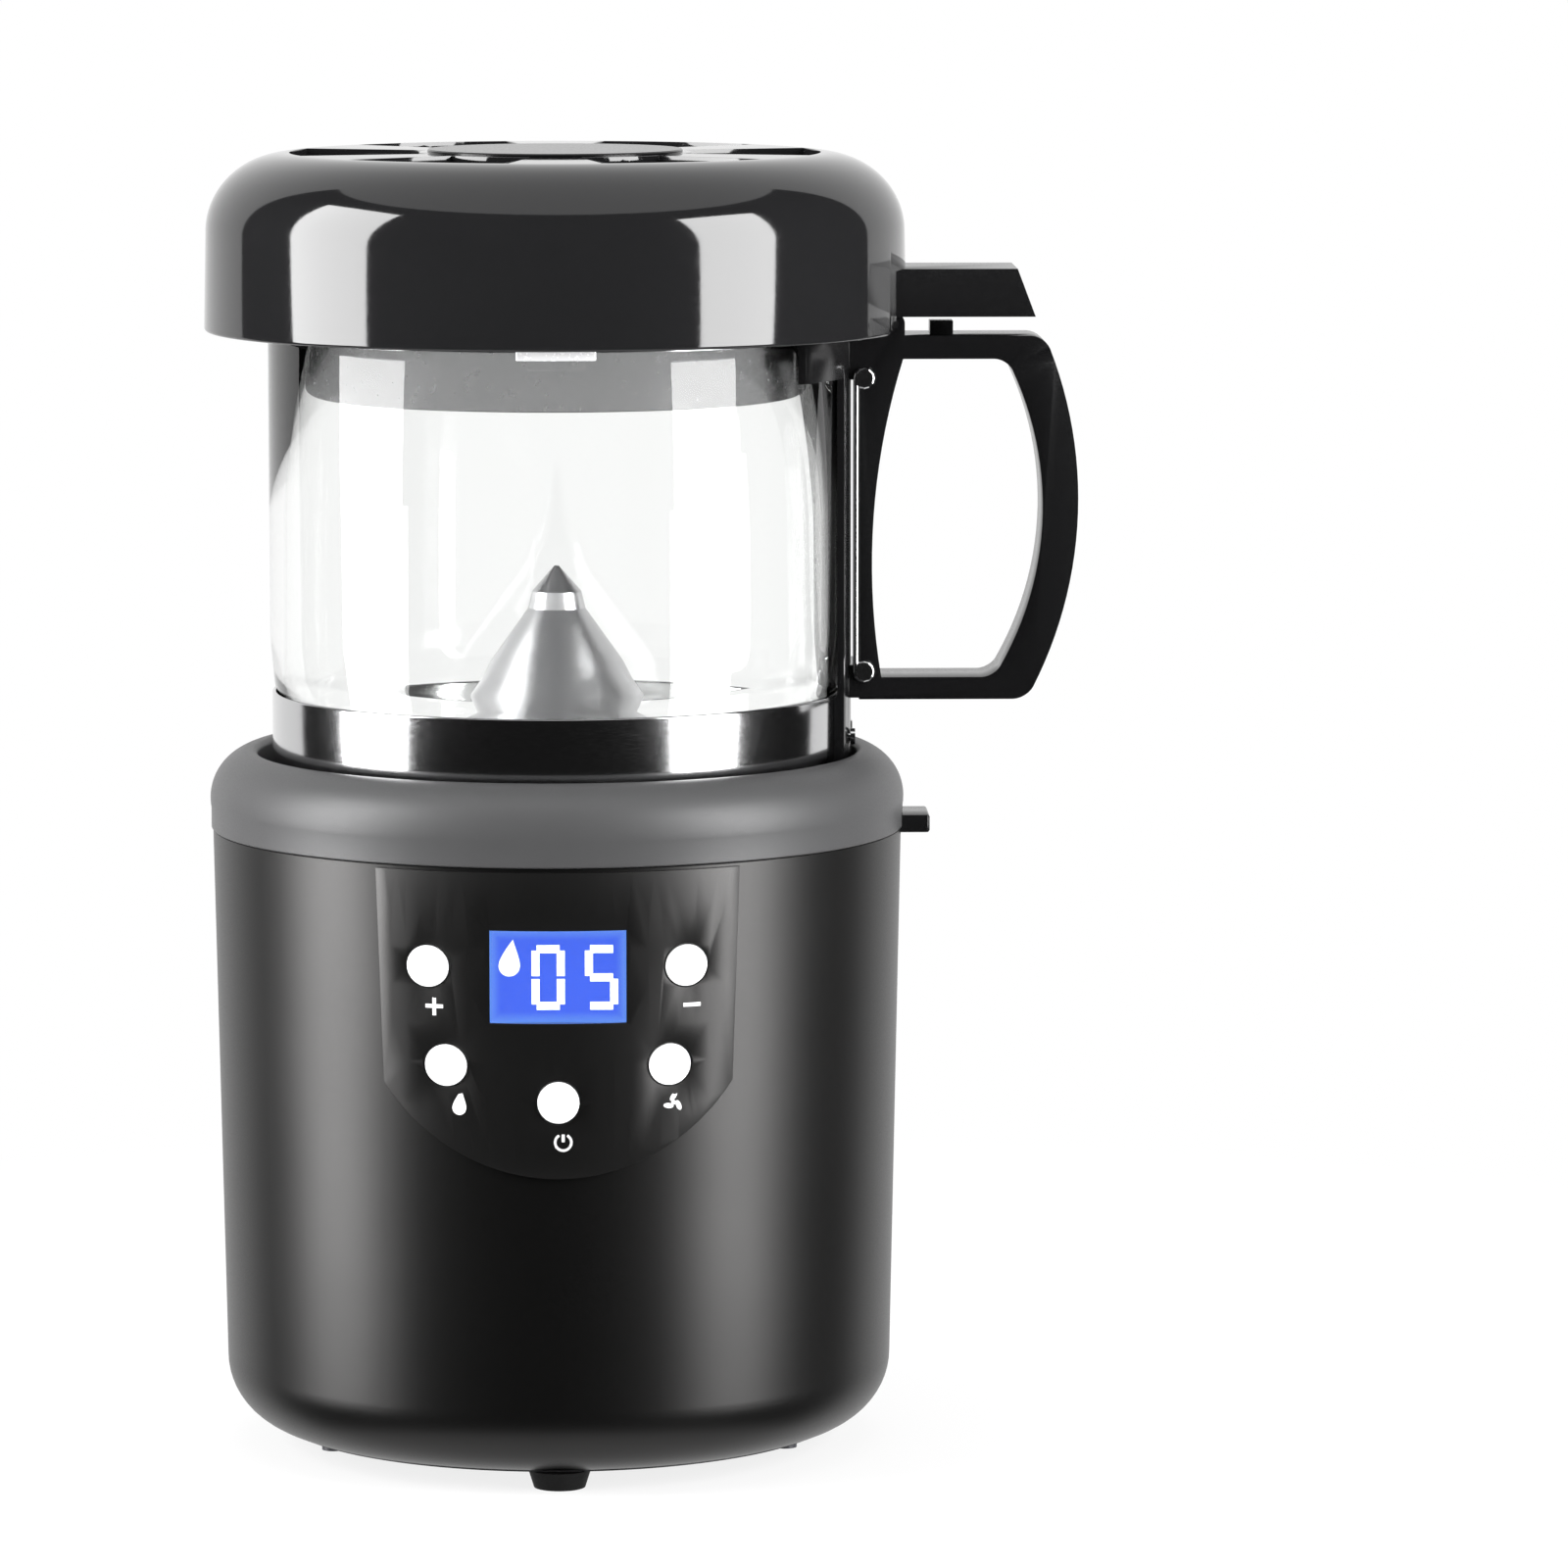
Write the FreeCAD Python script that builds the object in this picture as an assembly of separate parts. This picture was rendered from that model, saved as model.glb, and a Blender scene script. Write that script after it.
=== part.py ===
import FreeCAD
import Part
import os
from math import cos, pi, radians, sin, sqrt

# Countertop hot-air coffee bean roaster: a motor base with a lift-off glass
# chamber and a hinged lid. Millimetres, +Z up. Everything is drawn round the
# chamber's axis and moved at the end, so that the origin lies under the middle
# of the whole outline, at the height of the table. The handle points to +X and
# the control panel faces -Y.

V = FreeCAD.Vector
UP = V(0, 0, 1)

# Distance from the chamber's axis to the middle of the outline
outline_mid_x = 20.74

# Feet and base casing
foot_h = 4.4
foot_r_floor = 6.2
foot_r_top = 7.6
body_top_r = 84.2
body_low_r = body_top_r - 2.6
plate_r = body_low_r - 13.6
foot_circle_r = plate_r - 4.5
wall = 1.6
body_top_z = 152.0
body_low_z = 19.5
body_corner = 14.5
plate_t = 2.0
plate_slot_in = 14.0
plate_slot_out = 36.0
plate_slot_half = 1.6
plate_slots = 24
flange_boss_h = 5.0
flange_t = 2.0
flange_w = 9.0
gap_slip = 0.2
gap_move = 0.35

# Screws
screw_r = 1.5
screw_head_r = 2.8
screw_head_h = 1.6
screw_len = 10.0
small_screw_r = 1.1
small_head_r = 2.0
small_head_h = 1.3

# Top cap of the base
cap_r = body_top_r + 0.4
cap_straight_z = body_top_z + 5.0
cap_crest_z = body_top_z + 19.0
cap_crest_r = cap_r - 8.2
well_floor_z = body_top_z + 8.0
well_r = cap_crest_r - 3.2
well_edge_r = 1.6
cap_wall = 2.0
housing_r = foot_circle_r - 11.5
duct_r = housing_r - 3.5
spigot_r = duct_r + 2.3
well_hole_r = spigot_r + 0.6
cap_lip_len = 5.0
cap_lip_t = 1.8
boss_r = 4.4
cap_boss_h = 8.0
tie_rod_r = 3.0
tie_stud_len = 8.0
tie_angles = (-30, 90, 210)
foot_angles = (-90, 30, 150)

# Air path in the base
housing_wall = 2.0
housing_floor_z = 58.0
housing_floor_t = 3.0
housing_top_z = 92.0
impeller_r = housing_r - 14.0
inlet_r = impeller_r - 16.0
leg_r = 4.0
leg_circle_r = housing_r - 6.0
motor_r = 16.0
motor_z = 20.0
bracket_t = 2.0
motor_len = housing_floor_z - bracket_t - motor_z
shaft_r = 1.5
shaft_clear = 0.05
bracket_screw_circle_r = inlet_r + 5.0
motor_screw_x = 10.0
motor_neck_r = 6.0
impeller_z = housing_floor_z + 6.0
impeller_h = 15.0
blade_count = 11
blade_t = 1.4
duct_wall = 1.5
duct_flange_r = housing_r + 6.0
duct_flange_t = 2.0
duct_screw_circle_r = duct_flange_r - 3.0
former_r = duct_r - 8.5
former_t = 1.2
former_z = housing_top_z + 6.0
former_h = 40.0
former_arms = 6
coil_wire_r = 0.8
coil_turns = 6
coil_slack = 0.5
thermostat_r = 8.0
thermostat_z = former_z + 24.0
fuse_r = 2.2
fuse_z = former_z + 14.0
fuse_len = 14.0

# Mains electronics in the base
power_x = -foot_circle_r - 3.1
power_half_w = 24.0
power_top_z = 78.0
power_post_h = 12.0

# Chamber
cup_r = well_r - 3.7
cup_base_z = well_floor_z + 3.5
cup_top_z = cup_base_z + 22.1
cup_wall = 1.0
cup_round = 8.0
spigot_z = cup_base_z - 4.8
seal_r = duct_flange_r + 1.7
seal_w = 3.0
seal_side_gap = 0.1
floor_plate_z = cup_base_z + 14.3
floor_plate_t = 1.2
cone_tip_z = floor_plate_z + 38.2
cone_core_r = 6.0
cone_base_r = 26.0
glass_r = cup_r + 0.5
glass_low_r = glass_r - 1.1
glass_in_r = glass_r - 3.8
glass_seat_gap = 0.3

# Handle, on the chamber
handle_w = 21.0
glass_top_z = floor_plate_z + 98.2
strap_in_r = glass_r + 0.3
strap_t = 1.6
strap_half_w = 18.0
collar_half_w = 40.0
collar_h = 9.6
strap_low_z = cup_base_z + 3.0
grip_t = 8.6
top_bar_z = glass_top_z - 9.4
top_bar_t = 5.6
low_bar_z = top_bar_z - 83.0
low_bar_t = 5.4
member_x = glass_r + 3.6
grip_top_x = glass_r + 48.6
grip_mid_x = glass_r + 56.7
grip_mid_z = low_bar_z + 42.4
grip_low_x = glass_r + 44.5
hole_top_x = glass_r + 39.4
hole_low_x = glass_r + 36.4
hole_member_low_x = glass_r + 9.0
hole_member_mid_x = glass_r + 6.7
hole_member_mid_z = low_bar_z + 32.4
hole_member_top_x = glass_r + 14.2
grip_block_low_z = low_bar_z + 0.4
grip_block_top_z = low_bar_z + 8.4
hinge_x = glass_r + 12.0
hinge_z = top_bar_z + 8.6
pin_r = 1.1
knuckle_r = 2.6
ear_t = 4.4
rivet_z = cup_base_z + 11.0
rivet_y = 10.0
wire_x = glass_r + 2.7
wire_r = 0.7
wire_y = -handle_w / 2 - 0.9
wire_eye_r = 2.0
wire_low_z = low_bar_z + 6.9
wire_top_z = top_bar_z - 4.6
stud_x = hinge_x + 9.0
stud_len = 5.6
stud_h = 3.2

# Lid
rim_z = glass_top_z - 2.6
rim_r = glass_r + 15.4
shoulder_r = rim_r - 1.0
shoulder_z = rim_z + 23.6
dome_flat_r = shoulder_r - 23.4
lid_top_z = shoulder_z + 19.4
lid_wall = 2.4
hub_r = 31.0
vent_in_r = hub_r + 2.0
vent_out_r = dome_flat_r + 3.5
vent_half_deg = 19.0
vent_count = 6
hub_proud = 0.8
lid_boss_r = rim_r - 9.9
lid_boss_angles = (60, 180, 300)
clip_half_w = 9.4
clip_t = 1.2
clip_drop = 2.2
clip_rise = 8.0
neck_r = glass_in_r - 2.2
neck_wall = 1.2
neck_plate_gap = 0.6
neck_low_z = glass_top_z - 18.6
neck_plate_z = glass_top_z + 2.4
chord_x = hinge_x - 1.6
lever_plate_t = 1.8
lever_plate_half = 26.0
lever_wall = 2.6
lever_top_z = hinge_z + 13.4
lever_low_z = hinge_z + 1.8
lever_top_x = hinge_x + 29.8
lever_tip_x = hinge_x + 34.2
lever_web_t = 2.6

# Control panel
panel_proud = 0.9
panel_top_z = body_top_z - 1.0
panel_half_top = 43.0
panel_half_low = 41.3
panel_low_z = panel_top_z - 51.0
panel_bottom_z = panel_top_z - 73.0
panel_rim = 4.2
panel_depth = 3.0
lcd_w = 32.2
lcd_h = 22.2
lcd_z = panel_top_z - 24.8
button_r = 4.95
button_gap = 0.35
button_proud = 0.7
button_travel = 1.0
button_flange_r = 6.1
button_flange_t = 1.2
upper_row_z = panel_top_z - 22.7
lower_row_z = panel_top_z - 46.2
buttons = {"button_time_plus": (-30.7, upper_row_z), "button_time_minus": (30.3, upper_row_z),
           "button_roast": (-26.5, lower_row_z), "button_cool": (26.3, lower_row_z),
           "button_power": (0.0, panel_top_z - 54.7)}
button_back_y = -body_top_r + 13.5
sleeve_r = 6.6
lcd_frame = 2.6
lcd_y = -body_top_r + 3.4
lcd_t = 3.0
board_y = -body_top_r + 20.2
board_t = 1.6
board_half_w = 38.0
board_low_z = panel_top_z - 66.0
board_top_z = panel_top_z - 5.0
post_r = 2.6
board_screw_points = ((-24.0, board_top_z - 4.0), (24.0, board_top_z - 4.0),
                      (-14.0, board_low_z + 4.6), (14.0, board_low_z + 4.6))

# Release latch at the right, and the cord's grommet at the back
latch_z = body_top_z - 1.4
latch_t = 4.4
latch_w = 17.6
latch_out_x = cap_r + 6.4
latch_in_x = cap_r - 18.6
latch_travel = 3.0
latch_ear = 2.4
latch_ear_x = latch_in_x + 5.0
spring_len = 5.5
spring_r = 1.5
spring_wire_r = 0.35
spring_turns = 5
guide_wall = 5.0
guide_screw_points = ((latch_in_x + 0.5, -latch_w / 2 - 5.2), (latch_in_x + 0.5, latch_w / 2 + 5.2))
grommet_z = 26.0
grommet_r = 8.0
grommet_bore_r = 3.25


def cyl(r, z0, z1, x=0.0, y=0.0):
    return Part.makeCylinder(r, z1 - z0, V(x, y, z0))


def ring(r_out, r_in, z0, z1, x=0.0, y=0.0):
    return cyl(r_out, z0, z1, x, y).cut(cyl(r_in, z0 - 1, z1 + 1, x, y))


def box(x0, x1, y0, y1, z0, z1):
    return Part.makeBox(x1 - x0, y1 - y0, z1 - z0, V(x0, y0, z0))


def cyl_y(r, y0, y1, x, z):
    return Part.makeCylinder(r, y1 - y0, V(x, y0, z), V(0, 1, 0))


def cyl_x(r, x0, x1, y, z):
    return Part.makeCylinder(r, x1 - x0, V(x0, y, z), V(1, 0, 0))


def polar(r, angle):
    return r * cos(radians(angle)), r * sin(radians(angle))


def spin(profile):
    # profile: edges in the XZ plane forming one closed loop
    face = Part.Face(Part.Wire(Part.__sortEdges__(profile)))
    return face.revolve(V(0, 0, 0), UP, 360)


def lines(points, closed=False):
    pts = [V(x, 0, z) for x, z in points]
    if closed:
        pts.append(pts[0])
    return [Part.makeLine(a, b) for a, b in zip(pts, pts[1:])]


def spin_points(points):
    return spin(lines(points, closed=True))


def arc3(a, m, b):
    return Part.Arc(V(a[0], 0, a[1]), V(m[0], 0, m[1]), V(b[0], 0, b[1])).toShape()


def prism_y(points, y0, y1):
    wire = Part.makePolygon([V(x, y0, z) for x, z in points + points[:1]])
    return Part.Face(wire).extrude(V(0, y1 - y0, 0))


def fuse(first, *rest):
    return first.multiFuse(list(rest)).removeSplitter()


def cut(shape, *tools):
    return shape.cut(list(tools))


def turned(shape, angle):
    copy = shape.copy()
    copy.rotate(V(0, 0, 0), UP, angle)
    return copy


def around(shape, angles):
    return [turned(shape, a) for a in angles]


def group(shapes):
    return Part.makeCompound(list(shapes))


def screw_up(x, y, z_seat, r, head_r, head_h, length):
    # driven upwards: head below the seat, shank above it
    return fuse(cyl(head_r, z_seat - head_h, z_seat, x, y), cyl(r, z_seat, z_seat + length, x, y))


def screw_down(x, y, z_seat, r, head_r, head_h, length):
    return fuse(cyl(head_r, z_seat, z_seat + head_h, x, y), cyl(r, z_seat - length, z_seat, x, y))


def body_r(z):
    return body_low_r + (body_top_r - body_low_r) * (z - body_low_z) / (body_top_z - body_low_z)


def body_solid(offset, z_top=body_top_z):
    # the casing's outer form, moved in or out by offset
    low = body_low_r + offset
    floor = foot_h - offset
    corner_r = body_corner + offset
    top_r = body_r(z_top) + offset
    mid = (low - corner_r * (1 - cos(pi / 4)), floor + corner_r * (1 - sin(pi / 4)))
    edges = [arc3((low - corner_r, floor), mid, (low, floor + corner_r))]
    edges += lines([(low, floor + corner_r), (top_r, z_top), (0, z_top), (0, floor), (low - corner_r, floor)])
    return spin(edges)


plate_z0 = foot_h
plate_z1 = plate_z0 + plate_t
flange_z1 = plate_z1 + flange_t
well_floor_low = well_floor_z - cap_wall
cap_boss_z = body_top_z - cap_boss_h
latch_slot = gap_move


def latch_window(extra):
    half = latch_w / 2 + extra
    return box(latch_in_x - 6, cap_r + 15, -half, half, latch_z - extra, latch_z + latch_t + extra)


def power_posts(extra):
    # feet of the mains board, standing on the bottom plate
    x0 = power_x + board_t
    z1 = plate_z1 + power_post_h
    return [box(x0 - extra, x0 + 4 + extra, y - 3 - extra, y + 3 + extra, plate_z1, z1) for y in (-20, 20)]


def shield(inset, y0=-body_top_r - 10.8, y1=-body_top_r + 24.2):
    # the panel's outline, pushed through the casing along Y
    top = panel_top_z - inset
    half_top = panel_half_top - inset
    half_low = panel_half_low - inset
    bottom = V(0, y0, panel_bottom_z + inset)
    left = V(-half_low, y0, panel_low_z)
    right = V(half_low, y0, panel_low_z)
    edges = [Part.makeLine(V(-half_top, y0, top), V(half_top, y0, top)),
             Part.makeLine(V(half_top, y0, top), right),
             Part.Arc(right, bottom, left).toShape(),
             Part.makeLine(left, V(-half_top, y0, top))]
    return Part.Face(Part.Wire(Part.__sortEdges__(edges))).extrude(V(0, y1 - y0, 0))


# Base casing and what closes it

def make_body_shell():
    shell = body_solid(0).cut(body_solid(-wall, body_top_z + 1))
    shell = shell.cut(cyl(plate_r - flange_w, -1, 40))
    flange = ring(plate_r + 3, plate_r - flange_w, plate_z1, flange_z1)
    shell = fuse(shell, flange)
    bosses = []
    holes = []
    for angle in foot_angles:
        x, y = polar(foot_circle_r, angle)
        bosses.append(cyl(boss_r, flange_z1, flange_z1 + flange_boss_h, x, y))
        holes.append(cyl(screw_r, 0, 20, x, y))
    for angle in tie_angles:
        x, y = polar(foot_circle_r, angle)
        holes.append(cyl(screw_r, 0, 20, x, y))
    shell = fuse(shell, *bosses)
    shell = cut(shell, ring(plate_r + gap_slip, 1, 0, plate_z1), *(holes + power_posts(gap_slip)))
    shell = cut(shell, shield(panel_rim - gap_slip), latch_window(latch_slot))
    return shell.cut(cyl_y(grommet_r - 1.5, 60, body_top_r + 5, 0, grommet_z))


def make_bottom_plate():
    plate = cyl(plate_r, plate_z0, plate_z1)
    slots = []
    half = plate_slot_half
    ends = [cyl(half, 0, 10, x, 0) for x in (plate_slot_in, plate_slot_out)]
    slot = fuse(box(plate_slot_in, plate_slot_out, -half, half, 0, 10), *ends)
    step = 360 / plate_slots
    for i in range(plate_slots):
        slots.append(turned(slot, step * (i + 0.5)))
    holes = [cyl(screw_r, 0, 10, *polar(foot_circle_r, a)) for a in foot_angles + tie_angles]
    holes += [cyl(screw_r, 0, 10, *polar(leg_circle_r, a)) for a in foot_angles]
    return cut(fuse(plate, *power_posts(0)), *(slots + holes))


def make_feet():
    feet = []
    for angle in foot_angles:
        x, y = polar(foot_circle_r, angle)
        foot = Part.makeCone(foot_r_floor, foot_r_top, foot_h, V(x, y, 0))
        pocket = cyl(screw_head_r + gap_slip, -1, foot_h - 1.8, x, y)
        feet.append(cut(foot, pocket, cyl(screw_r, -1, 6, x, y)))
    return group(feet)


def make_foot_screws():
    seat = foot_h - 1.8
    return group(screw_up(*polar(foot_circle_r, a), seat, screw_r, screw_head_r, screw_head_h, screw_len)
                 for a in foot_angles)


def make_tie_screws():
    return group(screw_up(*polar(foot_circle_r, a), plate_z0, screw_r, screw_head_r, screw_head_h, screw_len)
                 for a in tie_angles)


def make_tie_rods():
    rods = []
    for angle in tie_angles:
        x, y = polar(foot_circle_r, angle)
        rod = cyl(tie_rod_r, flange_z1, cap_boss_z, x, y)
        stud = cyl(screw_r, cap_boss_z, cap_boss_z + tie_stud_len, x, y)
        rods.append(cut(fuse(rod, stud), cyl(screw_r, 0, plate_z0 + screw_len, x, y)))
    return group(rods)


def cap_outline(offset):
    # the cap's skin, from its skirt over the crest and into the well
    r0 = cap_r - offset
    crest = cap_crest_z - offset
    rise = crest - cap_straight_z
    run = r0 - cap_crest_r
    knee = (cap_crest_r + run * cos(pi / 4), cap_straight_z + rise * sin(pi / 4))
    edge = well_r + offset
    return [arc3((r0, cap_straight_z), knee, (cap_crest_r, crest)),
            Part.makeLine(V(cap_crest_r, 0, crest), V(edge + well_edge_r, 0, crest)),
            arc3((edge + well_edge_r, crest), (edge + 0.293 * well_edge_r, crest - 0.293 * well_edge_r),
                 (edge, crest - well_edge_r))]


def make_base_cap():
    outer = cap_outline(0)
    inner = cap_outline(cap_wall)
    edges = outer + inner
    edges += lines([(well_r, cap_crest_z - well_edge_r), (well_r, well_floor_z), (well_hole_r, well_floor_z),
                    (well_hole_r, well_floor_low), (well_r + cap_wall, well_floor_low),
                    (well_r + cap_wall, cap_crest_z - cap_wall - well_edge_r)])
    lip_r = body_top_r - wall - gap_slip
    edges += lines([(cap_r - cap_wall, cap_straight_z), (cap_r - cap_wall, body_top_z + 1.6),
                    (lip_r - cap_lip_t, body_top_z + 1.6), (lip_r - cap_lip_t, body_top_z - cap_lip_len),
                    (lip_r, body_top_z - cap_lip_len), (lip_r, body_top_z), (cap_r, body_top_z),
                    (cap_r, cap_straight_z)])
    cap = spin(edges)
    bosses = [cyl(boss_r, cap_boss_z, well_floor_low, *polar(foot_circle_r, a)) for a in tie_angles]
    cap = fuse(cap, *bosses)
    studs_z = cap_boss_z + tie_stud_len
    holes = [cyl(screw_r, cap_boss_z - 1, studs_z, *polar(foot_circle_r, a)) for a in tie_angles]
    floor_points = [polar(duct_screw_circle_r, a) for a in foot_angles] + list(guide_screw_points)
    holes += [cyl(small_screw_r, well_floor_low - 1, well_floor_z + 1, x, y) for x, y in floor_points]
    catch_x0 = latch_in_x - 1.5 - latch_travel
    catch = box(catch_x0, latch_in_x + 3.5, -5.5, 5.5, well_floor_low - 1, well_floor_z + 1)
    groove = ring(seal_r + seal_w / 2, seal_r - seal_w / 2, well_floor_z - 0.5, well_floor_z + 1)
    return cut(cap, latch_window(latch_slot), catch, groove, *holes)


def make_seat_seal():
    half = seal_w / 2 - seal_side_gap
    return ring(seal_r + half, seal_r - half, well_floor_z - 0.5, cup_base_z - glass_seat_gap)


# Blower and heater

def make_blower_housing():
    wall_ring = ring(housing_r, housing_r - housing_wall, housing_floor_z, housing_top_z)
    floor = ring(housing_r, inlet_r, housing_floor_z, housing_floor_z + housing_floor_t)
    legs = [cyl(leg_r, plate_z1, housing_floor_z, *polar(leg_circle_r, a)) for a in foot_angles]
    lip = ring(housing_r, duct_r - duct_wall - 1, housing_top_z - 2, housing_top_z)
    holes = [cyl(screw_r, 0, plate_z1 + 8, *polar(leg_circle_r, a)) for a in foot_angles]
    top = housing_floor_z + 2.5
    low = housing_floor_z - 1
    holes += [cyl(small_screw_r, low, top, *polar(bracket_screw_circle_r, a)) for a in foot_angles]
    return cut(fuse(wall_ring, floor, lip, *legs), *holes)


def make_housing_screws():
    return group(screw_up(*polar(leg_circle_r, a), plate_z0, screw_r, screw_head_r, screw_head_h, screw_len)
                 for a in foot_angles)


def make_motor_bracket():
    z0 = housing_floor_z - bracket_t
    arms = around(box(5, 31, -3.5, 3.5, z0, housing_floor_z), foot_angles)
    plate = fuse(cyl(14, z0, housing_floor_z), *arms)
    points = [polar(bracket_screw_circle_r, a) for a in foot_angles] + [(-motor_screw_x, 0), (motor_screw_x, 0)]
    holes = [cyl(small_screw_r, z0 - 1, housing_floor_z + 1, x, y) for x, y in points]
    return cut(plate, cyl(motor_neck_r + gap_slip, z0 - 1, housing_floor_z + 1), *holes)


def make_bracket_screws():
    z0 = housing_floor_z - bracket_t
    z1 = housing_floor_z
    size = (small_screw_r, small_head_r, small_head_h)
    outer_set = [screw_up(*polar(bracket_screw_circle_r, a), z0, *size, 4.4) for a in foot_angles]
    motor_set = [screw_down(x, 0, z1, *size, 5) for x in (-motor_screw_x, motor_screw_x)]
    return group(outer_set + motor_set)


def make_motor():
    top = motor_z + motor_len
    can = fuse(cyl(motor_r, motor_z, top), cyl(motor_neck_r, top, top + bracket_t + 1))
    tags = [box(x - 1.5, x + 1.5, -0.4, 0.4, motor_z - 5, motor_z) for x in (-9, 9)]
    bore = cyl(shaft_r + shaft_clear, motor_z + 4, top + 10)
    holes = [cyl(small_screw_r, top - 4, top + 1, x, 0) for x in (-motor_screw_x, motor_screw_x)]
    return cut(fuse(can, *tags), bore, *holes)


def make_motor_shaft():
    return cyl(shaft_r, motor_z + 4.3, impeller_z + impeller_h + 2)


def make_impeller():
    top = impeller_z + impeller_h
    hub = cyl(6, impeller_z, top + 1.5)
    back = cyl(impeller_r, top, top + 1.5)
    blade = box(20, impeller_r, -blade_t / 2, blade_t / 2, impeller_z, top)
    blade.rotate(V(20, 0, 0), UP, 28)
    blade = blade.common(cyl(impeller_r, impeller_z, top))
    blades = around(blade, [360 * i / blade_count for i in range(blade_count)])
    return cut(fuse(hub, back, *blades), cyl(shaft_r, 0, 200))


def make_air_duct():
    base = ring(duct_r, duct_r - duct_wall, housing_top_z, well_floor_low)
    foot = ring(housing_r, duct_r - duct_wall, housing_top_z, housing_top_z + 1.5)
    ledge = ring(duct_r, duct_r - 5.5, former_z - 1.2, former_z)
    flange = ring(duct_flange_r, duct_r - duct_wall, well_floor_low - duct_flange_t, well_floor_low)
    z1 = well_floor_low
    holes = [cyl(small_screw_r, z1 - 10, z1 + 1, *polar(duct_screw_circle_r, a)) for a in foot_angles]
    return cut(fuse(base, foot, ledge, flange), *holes)


def make_duct_screws():
    size = (small_screw_r, small_head_r, small_head_h)
    return group(screw_down(*polar(duct_screw_circle_r, a), well_floor_z, *size, 4) for a in foot_angles)


def coil_heights():
    steps = coil_turns * former_arms
    pitch = (former_h - 10) / steps
    return [former_z + 5 + pitch * i for i in range(steps + 1)]


def wire_through(points, r):
    # round wire along straight runs, mitred where they meet
    path = Part.makePolygon(points)
    start = Part.Wire(Part.makeCircle(r, points[0], points[1] - points[0]))
    return path.makePipeShell([start], True, False, 1)


def make_heater_former():
    heights = coil_heights()
    arms = []
    for k in range(former_arms):
        arm = box(0, former_r, -former_t / 2, former_t / 2, former_z, former_z + former_h)
        ear = box(former_r - 1, duct_r - duct_wall - 0.3, -former_t / 2, former_t / 2, former_z, former_z + 3)
        notches = [cyl_y(coil_wire_r + coil_slack, -2, 2, former_r, z) for z in heights[k::former_arms]]
        arms.append(turned(cut(fuse(arm, ear), *notches), 360 / former_arms * k))
    return fuse(*arms)


def make_heating_coil():
    points = [V(*polar(former_r, 360 / former_arms * i), z) for i, z in enumerate(coil_heights())]
    return wire_through(points, coil_wire_r)


def make_thermostat():
    z = thermostat_z
    disc = cyl_y(thermostat_r, duct_r - 1.5, duct_r + 6, 0, z)
    tabs = [box(x - 2, x + 2, duct_r + 6, duct_r + 11, z - 0.4, z + 0.4) for x in (-4, 4)]
    return fuse(disc, *tabs).cut(cyl(duct_r, z - 20, z + 20))


def make_thermal_fuse():
    body = cyl(fuse_r, fuse_z, fuse_z + fuse_len, -duct_r - fuse_r, 0)
    return body.cut(cyl(duct_r, fuse_z - 1, fuse_z + fuse_len + 1))


def make_power_board():
    return box(power_x, power_x + board_t, -power_half_w, power_half_w, flange_z1, power_top_z)


def make_power_parts():
    x0 = power_x + board_t
    relay = box(x0, x0 + 11, -8, 8, 24, 44)
    block = box(x0, x0 + 7, 9, 21, 26, 60)
    can = cyl_x(5, x0, x0 + 9, -15, 60)
    return group([relay, block, can])


def make_cord_grommet():
    y_out = body_r(grommet_z)
    flange_out = cyl_y(grommet_r, y_out - 0.6, y_out + 2.0, 0, grommet_z)
    flange_in = cyl_y(grommet_r, y_out - wall - 3.0, y_out - wall - 0.2, 0, grommet_z)
    core = cyl_y(grommet_r - 1.5, y_out - wall - 3.0, y_out + 2.0, 0, grommet_z)
    shell_bit = body_solid(0).cut(body_solid(-wall, body_top_z + 1))
    collar = fuse(flange_out, flange_in).cut(shell_bit)
    return fuse(collar, core).cut(cyl_y(grommet_bore_r, 60, 95, 0, grommet_z))


# Control panel

def curved_slab(out_offset, in_offset):
    return body_solid(out_offset, body_top_z + 4).cut(body_solid(in_offset, body_top_z + 5))


def lcd_block(margin, y0, y1):
    half = lcd_w / 2 + margin
    return box(-half, half, y0, y1, lcd_z - lcd_h / 2 - margin, lcd_z + lcd_h / 2 + margin)


def make_control_panel():
    skin = curved_slab(panel_proud, 0).common(shield(0))
    insert = curved_slab(panel_proud / 2, -panel_depth).common(shield(panel_rim))
    posts = [cyl_y(post_r, -body_top_r, board_y, x, z) for x, z in board_screw_points]
    sleeves = [cyl_y(sleeve_r, -body_top_r, button_back_y - gap_move, x, z) for x, z in buttons.values()]
    inside = body_solid(-panel_depth + 0.5, body_top_z + 2)
    panel = fuse(skin, insert, *[p.common(inside) for p in posts + sleeves])
    tools = [cyl_y(button_r + button_gap, -95, -60, x, z) for x, z in buttons.values()]
    tools += [cyl_y(small_screw_r, board_y - 5, board_y + 1, x, z) for x, z in board_screw_points]
    tools += [lcd_block(0, -95, -70), lcd_block(lcd_frame + gap_slip, lcd_y - gap_slip, -70)]
    return cut(panel, *tools)


def make_display_lens():
    return curved_slab(panel_proud - 0.2, -0.9).common(lcd_block(-0.1, -95, -70))


def make_display_module():
    return lcd_block(lcd_frame, lcd_y, lcd_y + lcd_t)


def make_display_holder():
    return lcd_block(lcd_frame, lcd_y + lcd_t, board_y).cut(lcd_block(0, lcd_y, board_y + 1))


def make_control_board():
    board = box(-board_half_w, board_half_w, board_y, board_y + board_t, board_low_z, board_top_z)
    return cut(board, *[cyl_y(small_screw_r, board_y - 1, board_y + 5, x, z) for x, z in board_screw_points])


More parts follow.
